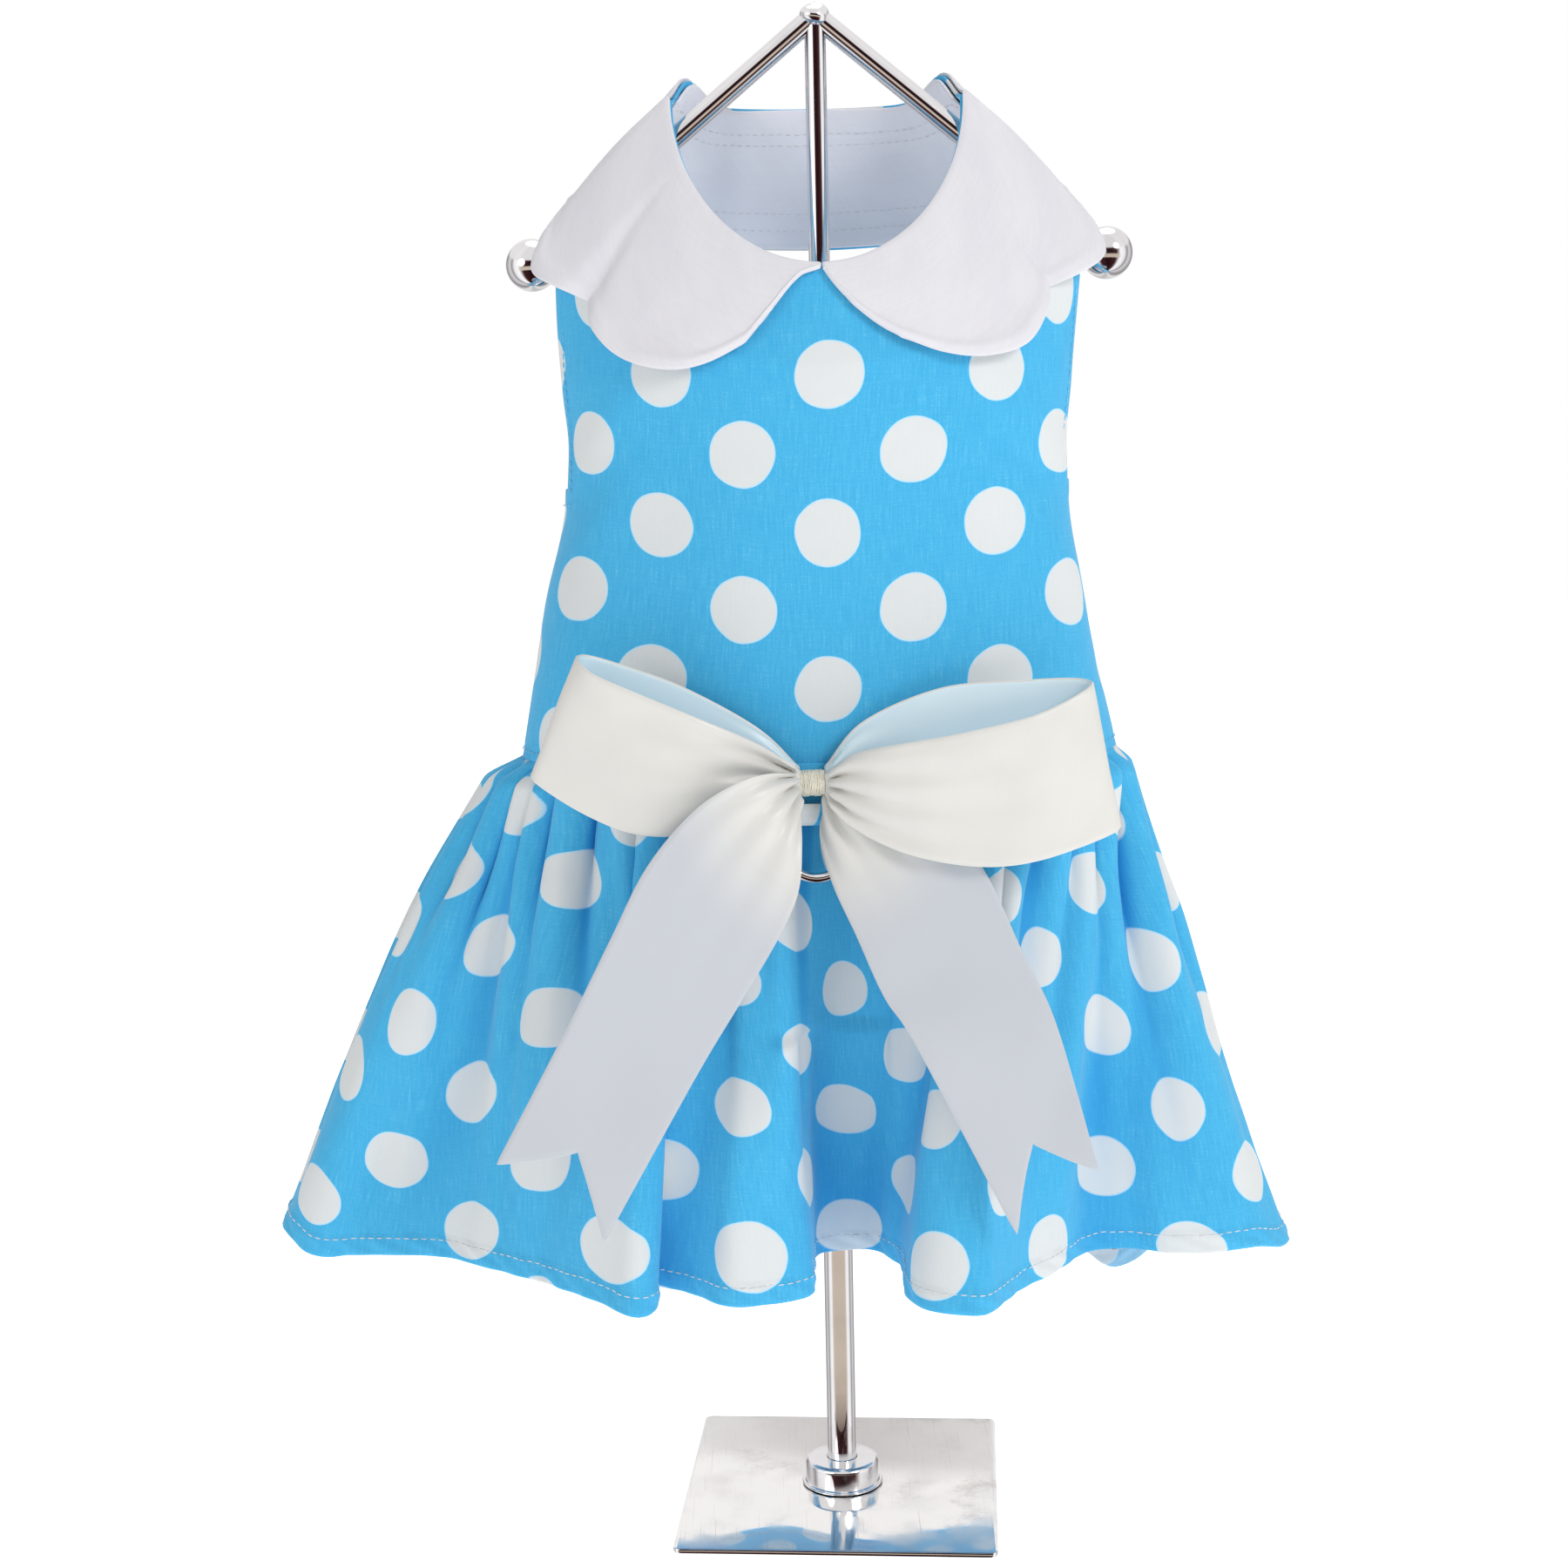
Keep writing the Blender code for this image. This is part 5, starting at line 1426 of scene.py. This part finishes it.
# floor, light and camera
studio = {
    "floorSize": 6.0,
    "floor": (0.93, 0.93, 0.93, 1),
    "floorGlow": 0.66,
    "skyLight": 0.46,
    "keyPower": 13.0,
    "fillPower": 3.0,
    "topPower": 8.0,
    "middle": (0, 0, 0.25),
    # the camera of the photo
    "lens": 56.79,
    "eye": (-0.01433, -0.77280, 0.36103),
    "lookDown": math.radians(9.206),
    "roll": math.radians(-1.2655),
    # the mirrored room, as shares of a half turn from the front round to the back
    "walls": (
        (0.00, (0.020, 0.006, 0.008, 1)),
        (0.21, (0.060, 0.020, 0.022, 1)),
        (0.26, (0.50, 0.44, 0.42, 1)),
        (0.31, (1.20, 1.20, 1.22, 1)),
        (0.44, (1.05, 1.05, 1.06, 1)),
        (0.52, (0.38, 0.36, 0.37, 1)),
        (0.61, (0.80, 0.80, 0.82, 1)),
        (0.80, (0.30, 0.28, 0.28, 1)),
        (0.90, (0.95, 0.95, 0.95, 1)),
        (1.00, (0.62, 0.60, 0.60, 1)),
    ),
    "paleWood": (0.76, 0.65, 0.54, 1),
    "overhead": (0.98, 0.97, 0.97, 1),
}


def makeFloor():
    half = studio["floorSize"] / 2
    finish, tree, shader = newFinish("pale_floor")
    place = put(tree, "ShaderNodeTexCoord").outputs["Object"]
    mottle = put(tree, "ShaderNodeTexNoise", {"Vector": place, "Scale": 3.0}).outputs["Fac"]
    colour = blendColour(tree, sums(tree, "MULTIPLY", mottle, 0.05), studio["floor"], (0.88, 0.88, 0.88, 1))
    tree.links.new(colour, shader.inputs["Base Color"])
    shader.inputs["Roughness"].default_value = 0.7
    shader.inputs["Emission Color"].default_value = (1, 1, 1, 1)
    shader.inputs["Emission Strength"].default_value = studio["floorGlow"]
    corners = [(-half, -half, 0), (half, -half, 0), (half, half, 0), (-half, half, 0)]
    floor = addPiece("studio_floor", corners, [[0, 1, 2, 3]], [finish])
    floor.visible_glossy = False


def makeLight(name, spot, size, power):
    light = bpy.data.lights.new(name, "AREA")
    light.shape = "DISK"
    light.size = size
    light.energy = power
    lamp = bpy.data.objects.new(name, light)
    lamp.location = spot
    lamp.rotation_euler = (Vector(studio["middle"]) - Vector(spot)).to_track_quat("-Z", "Y").to_euler()
    bpy.context.scene.collection.objects.link(lamp)


def makeStudio():
    makeFloor()
    world = bpy.data.worlds.new("studio_world")
    world.use_nodes = True
    bpy.context.scene.world = world
    tree = world.node_tree
    back = tree.nodes["Background"]
    # what polished steel mirrors: a dark room in front, bright walls beside it and grey ones behind
    way = put(tree, "ShaderNodeTexCoord").outputs["Generated"]
    split = put(tree, "ShaderNodeSeparateXYZ", {0: way}).outputs
    turn = sums(tree, "ARCTAN2", split[0], sums(tree, "MULTIPLY", split[1], -1.0))
    level = ramp(tree, sums(tree, "ABSOLUTE", turn), 0.0, math.pi, smooth=False)
    walls = put(tree, "ShaderNodeValToRGB", {"Fac": level})
    stops = walls.color_ramp.elements
    first, *between, last = studio["walls"]
    for stop, (place, colour) in zip(stops, (first, last)):
        stop.position, stop.color = place, colour
    for place, colour in between:
        stops.new(place).color = colour
    # lower down the room turns to pale wood, and overhead it is white
    lowBand = sums(tree, "MULTIPLY", ramp(tree, split[2], -0.06, -0.16), ramp(tree, split[2], -0.40, -0.35))
    facing = ramp(tree, level, 0.36, 0.26, 0.0, 0.9)
    lower = blendColour(tree, sums(tree, "MULTIPLY", lowBand, facing), walls.outputs[0], studio["paleWood"])
    mirrored = blendColour(tree, ramp(tree, split[2], 0.26, 0.40, 0.0, 0.92), lower, studio["overhead"])
    rays = put(tree, "ShaderNodeLightPath").outputs
    lit = blendColour(tree, rays["Is Glossy Ray"], (studio["skyLight"],) * 3 + (1,), mirrored)
    tree.links.new(blendColour(tree, rays["Is Camera Ray"], lit, (1, 1, 1, 1)), back.inputs["Color"])
    back.inputs["Strength"].default_value = 1.0
    makeLight("key_light", (1.15, -1.30, 1.20), 0.7, studio["keyPower"])
    makeLight("fill_light", (-1.2, -1.3, 0.7), 1.0, studio["fillPower"])
    makeLight("top_light", (0.1, 0.5, 1.8), 1.2, studio["topPower"])

    camera = bpy.data.cameras.new("photo_camera")
    camera.sensor_width = 36.0
    camera.lens = studio["lens"]
    camera.clip_start, camera.clip_end = 0.01, 50.0
    eyepiece = bpy.data.objects.new("photo_camera", camera)
    bpy.context.scene.collection.objects.link(eyepiece)
    turn = Matrix.Rotation(math.pi / 2 - studio["lookDown"], 4, "X") @ Matrix.Rotation(studio["roll"], 4, "Z")
    eyepiece.matrix_world = Matrix.Translation(studio["eye"]) @ turn
    bpy.context.scene.camera = eyepiece
    bpy.context.scene.view_settings.view_transform = "Standard"
    bpy.context.scene.view_settings.look = "None"


makeStudio()
print("dress: studio made")
